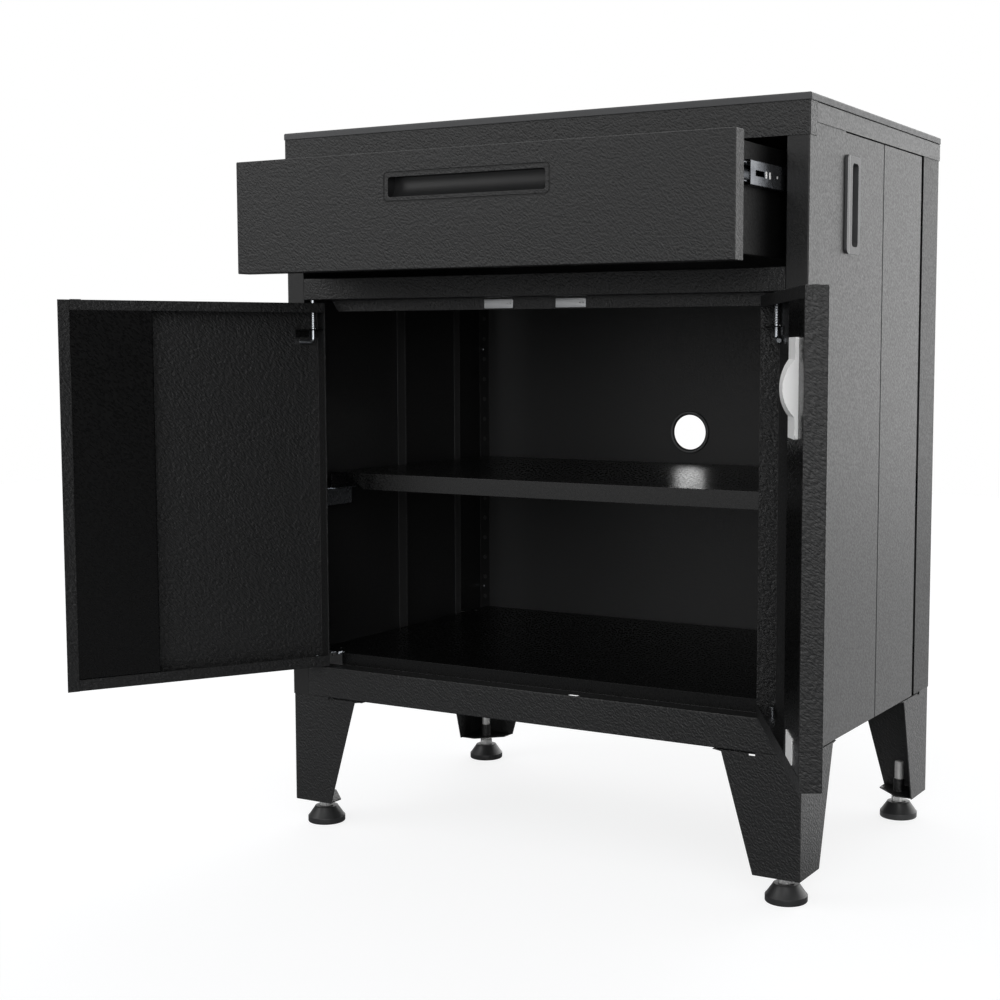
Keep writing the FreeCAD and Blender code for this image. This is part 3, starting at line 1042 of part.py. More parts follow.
def coil(radius, wire_r, pitch, turns):
    """A coil spring on biarcs of a quarter turn, standing on the origin's plane."""
    steps = round(turns * 4)
    edges, line = [], []
    for i in range(steps):
        a, along_a = helix_point(radius, pitch, math.pi / 2 * i)
        b, along_b = helix_point(radius, pitch, math.pi / 2 * (i + 1))
        span, both_ways = b - a, along_a + along_b
        bend = 2 * (1 - along_a.dot(along_b))
        reach = (-span.dot(both_ways) + math.sqrt(span.dot(both_ways) ** 2 + bend * span.dot(span))) / bend
        near, far = a + along_a * reach, b - along_b * reach
        joint = (near + far) * 0.5
        edges += [tangent_arc(a, near, joint), tangent_arc(joint, far, b)]
        line += [(a, i), (joint, i + 0.5)]
    start, along = helix_point(radius, pitch, 0)
    ring = Part.Wire([Part.Circle(start, along, wire_r).toShape()])
    tube = Part.Wire(edges).makePipeShell([ring], True, False)
    gaps = [p.distanceToPoint(q) - 2 * wire_r for p, i in line for q, j in line if j - i > 3]
    print("least gap between the spring's turns %.2f mm" % min(gaps))
    return tube


def make_hinges():
    inner_face = FRONT_Y + SHEET
    tab = door_block(DOOR_HEM, DOOR_HEM + TAB_WIDTH, SHEET, SHEET + TAB_DEPTH, TAB_Z, TAB_Z + TAB_SHEET)
    drop = door_block(DOOR_HEM, DOOR_HEM + TAB_WIDTH, SHEET, SHEET + TAB_SHEET, TAB_Z - TAB_DROP, TAB_Z)
    tab = drilled(joined(tab, drop), [V(PIVOT_X, PIVOT_Y, TAB_Z)], V(0, 0, 1), PIN_R + PIN_GAP,
                  WALL_DRILL)
    both("hinge_tab", opened(tab))
    bend = PIN_ARM_BEND
    top = V(PIVOT_X, PIVOT_Y, PIN_TOP)
    turn = V(PIVOT_X, PIVOT_Y, PIN_ARM_Z + bend)
    arm_start = V(PIVOT_X - bend, PIVOT_Y, PIN_ARM_Z)
    arm_end = V(PIVOT_X - PIN_ARM_LENGTH, PIVOT_Y, PIN_ARM_Z)
    sector = bend * math.sqrt(0.5)
    middle = V(PIVOT_X - bend + sector, PIVOT_Y, PIN_ARM_Z + bend - sector)
    path = Part.Wire([Part.LineSegment(top, turn).toShape(), Part.Arc(turn, middle, arm_start).toShape(),
                      Part.LineSegment(arm_start, arm_end).toShape()])
    ring = Part.Wire([Part.Circle(top, V(0, 0, -1), PIN_R).toShape()])
    pin = path.makePipeShell([ring], True, False)
    collar_z = DOOR_TOP - SHEET - TOUCH - COLLAR_HEIGHT
    collar = rod(V(PIVOT_X, PIVOT_Y, collar_z), V(0, 0, 1), COLLAR_R, COLLAR_HEIGHT)
    if PIVOT_Y - COLLAR_R < inner_face:
        collar = collar.cut(block(0, BODY_X, FRONT_Y - 1, inner_face + TOUCH, TAB_Z, DOOR_TOP))
    both("hinge_pin", opened(joined(pin, collar)))
    wire_r = SPRING_WIRE / 2
    rise = collar_z - SPRING_SEAT_Z - SPRING_WIRE - 2 * TOUCH
    spring = coil(SPRING_R, wire_r, rise / SPRING_TURNS, SPRING_TURNS)
    spring.translate(V(PIVOT_X, PIVOT_Y, SPRING_SEAT_Z + wire_r + TOUCH))
    both("hinge_spring", opened(spring))


os.makedirs("parts", exist_ok=True)
make_top()
make_top_frame()
make_sides()
make_side_grips()
make_back()
make_mid_rail()
make_bottom_rail()
make_floor()
make_shelf()
make_shelf_clips()
make_legs()
make_feet()
make_drawer(make_slides())
make_door()
make_hinges()
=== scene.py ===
"""Looks of the garage storage cabinet: powder-coated sheet steel on levelling feet.

Metres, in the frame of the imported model. The drawer stands part out and both doors stand open.
"""
import bpy
import bmesh
import math
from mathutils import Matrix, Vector


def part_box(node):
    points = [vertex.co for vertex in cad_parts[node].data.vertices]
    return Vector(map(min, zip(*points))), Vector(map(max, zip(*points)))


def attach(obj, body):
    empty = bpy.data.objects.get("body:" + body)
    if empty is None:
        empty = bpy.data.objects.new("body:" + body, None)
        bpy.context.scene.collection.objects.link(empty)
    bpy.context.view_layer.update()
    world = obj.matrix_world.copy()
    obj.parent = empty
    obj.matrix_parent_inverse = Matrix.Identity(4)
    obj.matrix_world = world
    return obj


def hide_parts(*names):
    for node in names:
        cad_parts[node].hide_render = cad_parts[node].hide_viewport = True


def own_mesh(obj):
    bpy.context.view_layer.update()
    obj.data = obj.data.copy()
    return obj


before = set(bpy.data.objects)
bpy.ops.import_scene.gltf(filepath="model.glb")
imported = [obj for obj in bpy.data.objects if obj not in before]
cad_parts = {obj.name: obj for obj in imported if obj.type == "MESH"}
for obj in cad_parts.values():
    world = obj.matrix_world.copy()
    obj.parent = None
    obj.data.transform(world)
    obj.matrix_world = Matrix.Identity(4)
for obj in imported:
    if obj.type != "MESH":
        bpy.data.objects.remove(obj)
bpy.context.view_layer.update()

CORNERS = ("front_left", "front_right", "rear_left", "rear_right")
SIDES = ("left", "right")
MM = 0.001


# Camera and studio

def set_camera():
    """The photo's camera, fitted to the cabinet's corners."""
    view = bpy.data.cameras.new("photo_view")
    view.sensor_width = 36.0
    view.lens = 59.875
    view.shift_x = -0.06523
    view.shift_y = 0.00212
    view.clip_start = 0.05
    view.clip_end = 60.0
    camera = bpy.data.objects.new("photo_view", view)
    bpy.context.scene.collection.objects.link(camera)
    camera.location = (1.01595, -1.91254, 0.62213)
    camera.rotation_euler = (math.radians(90.0 - 5.2835), 0.0, math.radians(29.689))
    bpy.context.scene.camera = camera


class Recipe:
    """Short calls for laying out the nodes of one finish."""

    def __init__(self, tree):
        self.tree = tree
        self.row = 0

    def node(self, kind, **settings):
        made = self.tree.nodes.new(kind)
        made.location = (220 * (self.row % 8), -260 * (self.row // 8))
        self.row += 1
        for name, value in settings.items():
            setattr(made, name, value)
        return made

    def feed(self, socket, value):
        if isinstance(value, bpy.types.NodeSocket):
            self.tree.links.new(value, socket)
        elif value is not None:
            socket.default_value = value

    def math(self, operation, first, second=None, third=None, clamp=False):
        made = self.node("ShaderNodeMath", operation=operation, use_clamp=clamp)
        for socket, value in zip(made.inputs, (first, second, third)):
            self.feed(socket, value)
        return made.outputs[0]

    def vector(self, operation, first, second=None):
        """A vector operation that gives one number."""
        made = self.node("ShaderNodeVectorMath", operation=operation)
        self.feed(made.inputs[0], first)
        self.feed(made.inputs[1], second)
        return made.outputs["Value"]

    def spread(self, value, low, high, to_low, to_high):
        """Eases a value's run from low to high into a run from to_low to to_high."""
        made = self.node("ShaderNodeMapRange", interpolation_type="SMOOTHSTEP")
        self.feed(made.inputs["Value"], value)
        ends = (("From Min", low), ("From Max", high), ("To Min", to_low), ("To Max", to_high))
        for name, number in ends:
            made.inputs[name].default_value = number
        return made.outputs["Result"]

    def place(self):
        """Object coordinates."""
        return self.node("ShaderNodeTexCoord").outputs["Object"]

    def separate(self, coords):
        """The X, Y and Z of some coordinates."""
        made = self.node("ShaderNodeSeparateXYZ")
        self.feed(made.inputs[0], coords)
        return made.outputs

    def laid(self, coords, turn=(0, 0, 0), size=(1, 1, 1), centre=(0, 0, 0)):
        made = self.node("ShaderNodeMapping", vector_type="TEXTURE")
        self.feed(made.inputs["Vector"], coords)
        made.inputs["Location"].default_value = centre
        made.inputs["Rotation"].default_value = turn
        made.inputs["Scale"].default_value = size
        return made.outputs["Vector"]

    def noise(self, coords, scale, detail=2.0, rough=0.5, distort=0.0):
        made = self.node("ShaderNodeTexNoise")
        self.feed(made.inputs["Vector"], coords)
        made.inputs["Scale"].default_value = scale
        made.inputs["Detail"].default_value = detail
        made.inputs["Roughness"].default_value = rough
        made.inputs["Distortion"].default_value = distort
        return made.outputs["Fac"]

    def mix(self, amount, first, second):
        made = self.node("ShaderNodeMix", data_type="RGBA")
        self.feed(made.inputs["Factor"], amount)
        self.feed(made.inputs["A"], first)
        self.feed(made.inputs["B"], second)
        return made.outputs["Result"]

    def bump(self, height, distance, strength, normal):
        made = self.node("ShaderNodeBump")
        self.feed(made.inputs["Height"], height)
        made.inputs["Distance"].default_value = distance
        made.inputs["Strength"].default_value = strength
        self.feed(made.inputs["Normal"], normal)
        return made.outputs["Normal"]

    def soft_edges(self, radius):
        """A normal that rounds the edges by a radius."""
        made = self.node("ShaderNodeBevel", samples=4)
        made.inputs["Radius"].default_value = radius
        return made.outputs["Normal"]


def shade(value):
    """A grey with a faint cool cast."""
    return (value * 0.985, value, value * 1.03, 1.0)


def new_finish(name, **plain):
    """A material with its shader's plain numbers set; returns it with its recipe and shader."""
    material = bpy.data.materials.new(name)
    material.use_nodes = True
    tree = material.node_tree
    shader = tree.nodes["Principled BSDF"]
    for socket, value in plain.items():
        shader.inputs[socket.replace("_", " ")].default_value = value
    return material, Recipe(tree), shader


# Each softbox: where it stands, the cosines where its glow starts and is full, and its strength
SOFTBOXES = (
    ((0.0, 1.0, 0.04), 0.15, 0.8, 1.05),
    ((-0.38, -0.88, 0.5), 0.35, 0.95, 0.6),
    ((0.0, 0.0, 1.0), 0.15, 0.95, 0.35),
    ((0.5, -0.85, 0.3), 0.8, 0.985, 2.4),
)
ROOM_LIGHT = 0.05
BACKDROP_WAY = (0.35, 1.0, 0.0)
BACKDROP_IN_GLOSS = 1.22
WHITE = (1.0, 1.0, 1.0, 1.0)


def seen_directly(recipe, path):
    """1 for rays that the camera sends, straight or through a clear surface, else 0."""
    straight, through = path.outputs["Is Camera Ray"], path.outputs["Is Transmission Ray"]
    return recipe.math("ADD", straight, through, clamp=True)


def set_world():
    """Pure white to the eye; glows of softboxes and a rear backdrop to the surfaces."""
    world = bpy.data.worlds.new("white_studio")
    bpy.context.scene.world = world
    world.use_nodes = True
    recipe = Recipe(world.node_tree)
    backdrop = world.node_tree.nodes["Background"]
    way = recipe.node("ShaderNodeTexCoord").outputs["Generated"]
    light = None
    for direction, start, full, strength in SOFTBOXES:
        facing = recipe.vector("DOT_PRODUCT", way, Vector(direction).normalized())
        glow = recipe.spread(facing, start, full, 0.0, strength)
        light = glow if light is None else recipe.math("ADD", light, glow)
    light = recipe.math("ADD", light, ROOM_LIGHT)
    path = recipe.node("ShaderNodeLightPath")
    behind = recipe.vector("DOT_PRODUCT", way, Vector(BACKDROP_WAY).normalized())
    mirrored = recipe.math("MULTIPLY", path.outputs["Is Glossy Ray"],
                           recipe.spread(behind, 0.5, 0.85, 0.0, BACKDROP_IN_GLOSS))
    light = recipe.math("ADD", light, mirrored)
    strength = recipe.node("ShaderNodeMix", data_type="FLOAT")
    recipe.feed(strength.inputs["Factor"], seen_directly(recipe, path))
    recipe.feed(strength.inputs["A"], light)
    strength.inputs["B"].default_value = 1.0
    backdrop.inputs["Color"].default_value = WHITE
    recipe.feed(backdrop.inputs["Strength"], strength.outputs["Result"])


FLOOR_HALF = 5.0
FLOOR_GLOW = 0.79
FLOOR_IN_GLOSS = 0.9


def lay_floor():
    """A pale floor that keeps the cabinet's shadow; glossy surfaces see it lit at the rear."""
    mesh = bpy.data.meshes.new("studio_floor")
    half = FLOOR_HALF
    corners = [(-half, -half, 0), (half, -half, 0), (half, half, 0), (-half, half, 0)]
    mesh.from_pydata(corners, [], [(0, 1, 2, 3)])
    material, recipe, shader = new_finish("pale_floor", Roughness=0.9, Specular_IOR_Level=0.1)
    mottled = recipe.noise(recipe.place(), 3.0)
    recipe.feed(shader.inputs["Base Color"], recipe.mix(mottled, shade(0.27), shade(0.29)))
    shader.inputs["Emission Color"].default_value = WHITE
    path = recipe.node("ShaderNodeLightPath")
    across, along, _ = recipe.separate(recipe.place())
    rear_right = recipe.math("MULTIPLY", recipe.spread(along, -0.3, 0.3, 0.0, FLOOR_IN_GLOSS),
                             recipe.spread(across, 0.2, 0.4, 0.0, 1.0))
    in_gloss = recipe.math("MULTIPLY", path.outputs["Is Glossy Ray"], rear_right)
    glow = recipe.math("MULTIPLY_ADD", seen_directly(recipe, path), FLOOR_GLOW, in_gloss)
    recipe.feed(shader.inputs["Emission Strength"], glow)
    mesh.materials.append(material)
    floor = bpy.data.objects.new("studio_floor", mesh)
    bpy.context.scene.collection.objects.link(floor)


LAMP_PLACE = Vector((-2.3, -2.4, 2.1))
LAMP_AIM = Vector((0.0, -0.1, 0.5))


def set_softbox():
    """The one lamp: a softbox high at the left front."""
    lamp = bpy.data.lights.new("left_softbox", "AREA")
    lamp.shape = "RECTANGLE"
    lamp.size, lamp.size_y = 1.6, 2.2
    lamp.energy = 17.0
    box = bpy.data.objects.new("left_softbox", lamp)
    bpy.context.scene.collection.objects.link(box)
    box.location = LAMP_PLACE
    box.rotation_euler = (LAMP_AIM - LAMP_PLACE).to_track_quat("-Z", "Y").to_euler()


# Finishes

STREAK_TURN = Vector((1.0, 1.0, -1.05)).to_track_quat("Z", "Y").to_euler()
STREAK_SIZE = (0.0022, 0.0022, 0.0050)


def streaks(recipe, coords):
    """Short wrinkles running down to the right, as the coat's texture does."""
    lanes = recipe.laid(coords, STREAK_TURN, STREAK_SIZE)
    return recipe.noise(lanes, 1.0, detail=1.0, rough=0.5, distort=0.15)


def powder_coat(name, base=0.008, roughness=0.42, wrinkle=1.0, relief=0.0016, gloss=1.5,
                outline=None):
    """Black textured powder coat; outline draws a pressed line round a finger pull, a dent in the
    relief darkened with painted shade.
    """
    material, recipe, shader = new_finish(name, IOR=gloss)
    coords = recipe.place()
    streak = streaks(recipe, coords)
    peel = recipe.noise(coords, 190.0, detail=3.0, rough=0.5)
    grain = recipe.noise(coords, 1300.0, detail=1.0)
    cloud = recipe.noise(coords, 7.0, detail=3.0)
    height = recipe.math("MULTIPLY", peel, 0.25)
    height = recipe.math("MULTIPLY_ADD", streak, 0.55 * wrinkle, height)
    height = recipe.math("MULTIPLY_ADD", grain, 0.12, height)
    dark = recipe.math("MULTIPLY_ADD", cloud, 0.5, recipe.math("MULTIPLY", streak, 0.5))
    colour = recipe.mix(dark, shade(base * 0.78), shade(base * 1.25))
    glints = recipe.spread(grain, 0.66, 0.76, 0.0, 0.3)
    colour = recipe.mix(glints, colour, shade(base * 2.0))
    satin = recipe.spread(streak, 0.3, 0.7, roughness - 0.06, roughness + 0.07)
    if outline:
        line = outline(recipe, coords)
        # Painted shade: the pressed line's groove darkens the colour
        colour = recipe.mix(line, colour, shade(base * 0.25))
        height = recipe.math("MULTIPLY_ADD", line, -3.0, height)
    recipe.feed(shader.inputs["Base Color"], colour)
    recipe.feed(shader.inputs["Roughness"], satin)
    normal = recipe.bump(height, relief, 1.0, recipe.soft_edges(0.0007))
    recipe.feed(shader.inputs["Normal"], normal)
    return material


def pressed_line(centre_x, centre_z, half_x, half_z, corner, width):
    """A rounded oblong line on a face that looks along Y; its mask dents the coat and darkens it
    with painted shade.
    """
    def draw(recipe, coords):
        across, _, up = recipe.separate(coords)
        sides = []
        for place, centre, half in ((across, centre_x, half_x), (up, centre_z, half_z)):
            off = recipe.math("SUBTRACT", place, centre)
            sides.append(recipe.math("SUBTRACT", recipe.math("ABSOLUTE", off), half - corner))
        outer = [recipe.math("MAXIMUM", side, 0.0) for side in sides]
        squares = recipe.math("MULTIPLY_ADD", outer[0], outer[0],
                              recipe.math("MULTIPLY", outer[1], outer[1]))
        inner = recipe.math("MINIMUM", recipe.math("MAXIMUM", sides[0], sides[1]), 0.0)
        away = recipe.math("ADD", recipe.math("SQRT", squares), inner)
        away = recipe.math("ABSOLUTE", recipe.math("SUBTRACT", away, corner))
        return recipe.spread(away, width * 0.4, width, 1.0, 0.0)
    return draw


def smooth_coat(name):
    """The smoother coat of the worktop, with a light orange peel."""
    material, recipe, shader = new_finish(name, IOR=1.3)
    coords = recipe.place()
    peel = recipe.noise(coords, 120.0, detail=3.0, rough=0.45)
    grain = recipe.noise(coords, 900.0, detail=1.0)
    cloud = recipe.noise(coords, 5.0, detail=3.0)
    # Painted light: a grey well above the body's black, so the worktop reads lighter
    recipe.feed(shader.inputs["Base Color"], recipe.mix(cloud, shade(0.066), shade(0.074)))
    recipe.feed(shader.inputs["Roughness"], recipe.spread(peel, 0.3, 0.7, 0.34, 0.42))
    height = recipe.math("MULTIPLY_ADD", grain, 0.1, peel)
    normal = recipe.bump(height, 0.00006, 0.8, recipe.soft_edges(0.0012))
    recipe.feed(shader.inputs["Normal"], normal)
    return material


def plated_steel(name, base, roughness, metal=1.0):
    """Bright zinc on steel: faint cloudy patches, drawn lines and small pits."""
    material, recipe, shader = new_finish(name, Metallic=metal)
    coords = recipe.place()
    cloud = recipe.noise(coords, 60.0, detail=4.0, rough=0.6)
    drawn = recipe.noise(recipe.laid(coords, size=(0.0006, 0.02, 0.0006)), 1.0, detail=2.0)
    pits = recipe.noise(coords, 900.0, detail=1.0)
    dull = tuple(0.72 * part for part in base[:3]) + (1.0,)
    recipe.feed(shader.inputs["Base Color"], recipe.mix(cloud, dull, base))
    satin = recipe.spread(cloud, 0.3, 0.7, roughness - 0.08, roughness + 0.1)
    recipe.feed(shader.inputs["Roughness"], satin)
    height = recipe.math("MULTIPLY_ADD", pits, 0.4, drawn)
    normal = recipe.bump(height, 0.00003, 0.6, recipe.soft_edges(0.0003))
    recipe.feed(shader.inputs["Normal"], normal)
    return material


def moulded_plastic(name, dark, light, roughness, grain_size=1100.0, depth=0.00004):
    """Moulded plastic with a fine spark-eroded grain and faint flow clouds."""
    material, recipe, shader = new_finish(name, IOR=1.46)
    coords = recipe.place()
    grain = recipe.noise(coords, grain_size, detail=2.0)
    flow = recipe.noise(coords, 40.0, detail=3.0, distort=0.8)
    recipe.feed(shader.inputs["Base Color"], recipe.mix(flow, dark, light))
    satin = recipe.spread(grain, 0.3, 0.7, roughness - 0.05, roughness + 0.06)
    recipe.feed(shader.inputs["Roughness"], satin)
    normal = recipe.bump(grain, depth, 0.7, recipe.soft_edges(0.0005))
    recipe.feed(shader.inputs["Normal"], normal)
    return material


GROMMET_BORE_R, GROMMET_WALL_R, GROMMET_RIM_R = 24.5 * MM, 26.0 * MM, 30.2 * MM
GROMMET_FLANGE = 2.0 * MM
# Radii between which the flange's face fades from black painted shade to its lighter grey painted
# light and back
LIT_FACE_IN, LIT_FACE_OUT = (26.2 * MM, 26.8 * MM), (28.8 * MM, 29.3 * MM)


def grommet_plastic():
    """Black plastic of the cable grommet, with painted light on the flange's face and painted shade
    at its edges.
    """
    material, recipe, shader = new_finish("grommet_plastic_painted_light", IOR=1.46)
    low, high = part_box("cable_grommet")
    centre = (low + high) / 2
    coords = recipe.place()
    flattened = recipe.laid(coords, size=(1, 1000, 1), centre=(centre.x, 0, centre.z))
    away = recipe.vector("LENGTH", flattened)
    face = recipe.math("MULTIPLY", recipe.spread(away, *LIT_FACE_IN, 0.0, 1.0),
                       recipe.spread(away, *LIT_FACE_OUT, 1.0, 0.0))
    grain = recipe.noise(coords, 1100.0, detail=2.0)
    light = recipe.mix(grain, shade(0.09), shade(0.12))
    # Painted light on the flange's face, near-black painted shade at its edges
    recipe.feed(shader.inputs["Base Color"], recipe.mix(face, shade(0.002), light))
    recipe.feed(shader.inputs["Roughness"], recipe.spread(grain, 0.3, 0.7, 0.35, 0.45))
    normal = recipe.bump(grain, 0.00004, 0.7, recipe.soft_edges(0.0004))
    recipe.feed(shader.inputs["Normal"], normal)
    return material


# Shapes

def keep(mesh, name, body, slot, material, *stands_for):
    """Puts a finished mesh in the scene as one piece of the cabinet."""
    mesh.materials.clear()
    mesh.materials.append(material)
    piece = bpy.data.objects.new(name, mesh)
    bpy.context.scene.collection.objects.link(piece)
    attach(piece, body)
    if stands_for:
        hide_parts(*stands_for)
    return piece


def to_mesh(shape, name, smooth_angle=40.0):
    """Turns a bmesh into a mesh: normals outward, smooth but for edges over an angle in degrees."""
    bmesh.ops.recalc_face_normals(shape, faces=shape.faces)
    for face in shape.faces:
        face.smooth = True
    for edge in shape.edges:
        if len(edge.link_faces) == 2 and edge.calc_face_angle(0.0) > math.radians(smooth_angle):
            edge.smooth = False
    mesh = bpy.data.meshes.new(name)
    shape.to_mesh(mesh)
    shape.free()
    return mesh


def circle(radius, steps):
    """The x and y of points round a circle."""
    angles = [2 * math.pi * step / steps for step in range(steps)]
    return [(radius * math.cos(angle), radius * math.sin(angle)) for angle in angles]


def turned(profile, centre, steps, axis="z"):
    """A lathe shape from (radius, along) points; a radius of 0 closes an end, else it is a ring."""
    shape = bmesh.new()
    rings = []
    for radius, along in profile:
        if radius == 0:
            rings.append([shape.verts.new(Vector((0, 0, along)))])
            continue
        rings.append([shape.verts.new((x, y, along)) for x, y in circle(radius, steps)])
    closed = profile[0][0] != 0
    pairs = list(zip(rings, rings[1:])) + ([(rings[-1], rings[0])] if closed else [])
    for lower, upper in pairs:
        for step in range(steps):
            after = (step + 1) % steps
            if len(lower) == 1 and len(upper) == 1:
                continue
            if len(lower) == 1:
                shape.faces.new((lower[0], upper[after], upper[step]))
            elif len(upper) == 1:
                shape.faces.new((lower[step], lower[after], upper[0]))
            else:
                shape.faces.new((lower[step], lower[after], upper[after], upper[step]))
    if axis == "y":
        for vert in shape.verts:
            vert.co = Vector((vert.co.x, vert.co.z, -vert.co.y))
    for vert in shape.verts:
        vert.co += Vector(centre)
    return shape


def arc(centre, radius, start, end, steps):
    """Points of a rounded corner in a profile, by its angles in degrees."""
    points = []
    for step in range(steps + 1):
        angle = math.radians(start + (end - start) * step / steps)
        points.append((centre[0] + radius * math.cos(angle), centre[1] + radius * math.sin(angle)))
    return points


FOOT_RIM = 8.0 * MM
FOOT_SHOULDER = 14.8 * MM
FOOT_HOLLOW = [(19.1 * MM, 6.2 * MM), (20.1 * MM, 1.2 * MM)]
STUD_R = 6.0 * MM
PITCH = 1.75 * MM
THREAD_DEPTH = 0.75 * MM
THREAD_LEAD_IN = 1.0 * MM
HEX_FLATS, HEX_HEIGHT = 17.0 * MM, 7.5 * MM


def turn_feet(material):
    """The feet's plastic cones: hollow below, a round rim, sloping up to a rounded shoulder."""
    for corner in CORNERS:
        low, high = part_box("foot_pad_" + corner)
        middle = (low + high) / 2
        outer, top = (high.x - low.x) / 2, high.z - low.z
        profile = [(STUD_R - 0.05 * MM, 9.7 * MM)] + FOOT_HOLLOW
        profile += [(outer - 1.9 * MM, 0.0)]
        profile += arc((outer - 1.7 * MM, 1.7 * MM), 1.7 * MM, -90, 0, 6)
        profile += arc((outer - 0.8 * MM, FOOT_RIM - 0.6 * MM), 0.8 * MM, 0, 50, 4)
        profile += [(outer - 1.3 * MM, FOOT_RIM + 1.0 * MM)]
        profile += [(FOOT_SHOULDER + 0.8 * MM, top - 1.5 * MM)]
        profile += arc((FOOT_SHOULDER - 0.6 * MM, top - 1.2 * MM), 1.2 * MM, 30, 90, 5)
        profile += [(STUD_R + 0.15 * MM, top), (STUD_R - 0.05 * MM, top - 0.3 * MM)]
        shape = turned(profile, (middle.x, middle.y, low.z), 72)
        keep(to_mesh(shape, "foot_" + corner), "foot_boot_" + corner, "foot_" + corner,
             "black_plastic", material, "foot_pad_" + corner)


def cut_thread(low, high):
    """A threaded bar between two points of one upright line."""
    around, rows_per_turn = 24, 8
    length = high.z - low.z
    rows = int(length / PITCH * rows_per_turn)
    shape, grid = bmesh.new(), []
    for row in range(rows + 1):
        z = low.z + length * row / rows
        end = min(z - low.z, high.z - z)
        ring = []
        for step in range(around):
            turn = step / around
            phase = ((z - low.z) / PITCH - turn) % 1.0
            # A flat crest, sloping flanks and a flat root within each pitch; the ends taper
            crest = min(1.0, max(0.0, 1.35 - abs(phase - 0.5) * 3.4))
            radius = STUD_R - THREAD_DEPTH * (1 - crest) - max(0.0, THREAD_LEAD_IN - end) * 0.8
            angle = 2 * math.pi * turn
            ring.append(shape.verts.new((low.x + radius * math.cos(angle),
                                         low.y + radius * math.sin(angle), z)))
        grid.append(ring)
    for lower, upper in zip(grid, grid[1:]):
        for step in range(around):
            after = (step + 1) % around
            shape.faces.new((lower[step], lower[after], upper[after], upper[step]))
    shape.faces.new(grid[0][::-1])
    shape.faces.new(grid[-1])
    return to_mesh(shape, "thread", 75.0)


def thread_studs(tree, material):
    """Each foot's threaded stud with its hexagonal collar on the foot's top."""
    for corner in CORNERS:
        low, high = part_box("foot_stud_" + corner)
        middle = (low + high) / 2
        bar = cut_thread(Vector((middle.x, middle.y, low.z)), Vector((middle.x, middle.y, high.z)))
        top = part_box("foot_pad_" + corner)[1].z
        seat = [(Vector((middle.x, middle.y, top)), Vector((0, 0, 1)))]
        hexagon = hex_head(HEX_FLATS, HEX_HEIGHT, STUD_R - 0.2 * MM)
        collar = drive(tree, hexagon, seat, 0.0, material, "collar")
        keep(merged("stud", bar, collar), "foot_thread_" + corner, "foot_" + corner, "zinc_plate",
             material, "foot_stud_" + corner)


def hex_head(flats, height, bore):
    """A chamfered hexagon standing on the origin; a bore of 0 leaves it whole."""
    corner, steps = flats / math.sqrt(3), 36
    shape = bmesh.new()

    def ring(z, bound, flat=True):
        """A ring that follows the six flats, or a round one of radius bound."""
        made = []
        for step in range(steps):
            angle = 2 * math.pi * step / steps
            side = (angle % (math.pi / 3)) - math.pi / 6
            radius = min(flats / 2 / math.cos(side), bound) if flat else bound
            made.append(shape.verts.new((radius * math.cos(angle), radius * math.sin(angle), z)))
        return made

    # The chamfer takes off the corners only, at both faces
    cut = corner * 0.12
    rings = [ring(0, flats / 2 * 0.97, False), ring(0, flats / 2 * 0.98),
             ring(cut * 0.5, corner * 1.01), ring(height - cut * 0.5, corner * 1.01),
             ring(height, flats / 2 * 0.97, False)]
    if bore:
        rings += [ring(height, bore * 1.12, False), ring(height - bore * 0.1, bore, False),
                  ring(bore * 0.1, bore, False), ring(0, bore * 1.12, False)]
    for lower, upper in zip(rings, rings[1:] + (rings[:1] if bore else [])):
        for step in range(steps):
            after = (step + 1) % steps
            shape.faces.new((lower[step], lower[after], upper[after], upper[step]))
    if not bore:
        shape.faces.new(rings[0][::-1])
        shape.faces.new(rings[-1])
    bmesh.ops.remove_doubles(shape, verts=shape.verts, dist=1e-6)
    return shape


def cross_screw(head_r, head, shank_r, shank):
    """A pan-head screw with a cross recess, pointing down; the origin is under its head."""
    shape, steps = bmesh.new(), 48
    rings, inner = [], head_r * 0.97
    for part in (0.12, 0.26, 0.42, 0.58, 0.72, 0.84, 0.94):
        ring = []
        dome = head * (1.0 - 0.42 * part ** 3)
        for x, y in circle(part * inner, steps):
            in_cross = min(abs(x), abs(y)) < head_r * 0.13 and max(abs(x), abs(y)) < head_r * 0.6
            ring.append(shape.verts.new((x, y, dome - (head * 0.75 if in_cross else 0.0))))
        rings.append(ring)
    below = ((head_r, head * 0.35), (inner, 0.0), (shank_r, 0.0), (shank_r, -shank))
    for radius, z in below:
        rings.append([shape.verts.new((x, y, z)) for x, y in circle(radius, steps)])
    for outer, within in zip(rings[1:], rings):
        for step in range(steps):
            after = (step + 1) % steps
            shape.faces.new((outer[step], outer[after], within[after], within[step]))
    for ring, z in ((rings[0], head * 0.2), (rings[-1], -shank - shank_r * 0.2)):
        tip = shape.verts.new((0, 0, z))
        for step in range(steps):
            shape.faces.new((ring[step], ring[(step + 1) % steps], tip))
    return shape


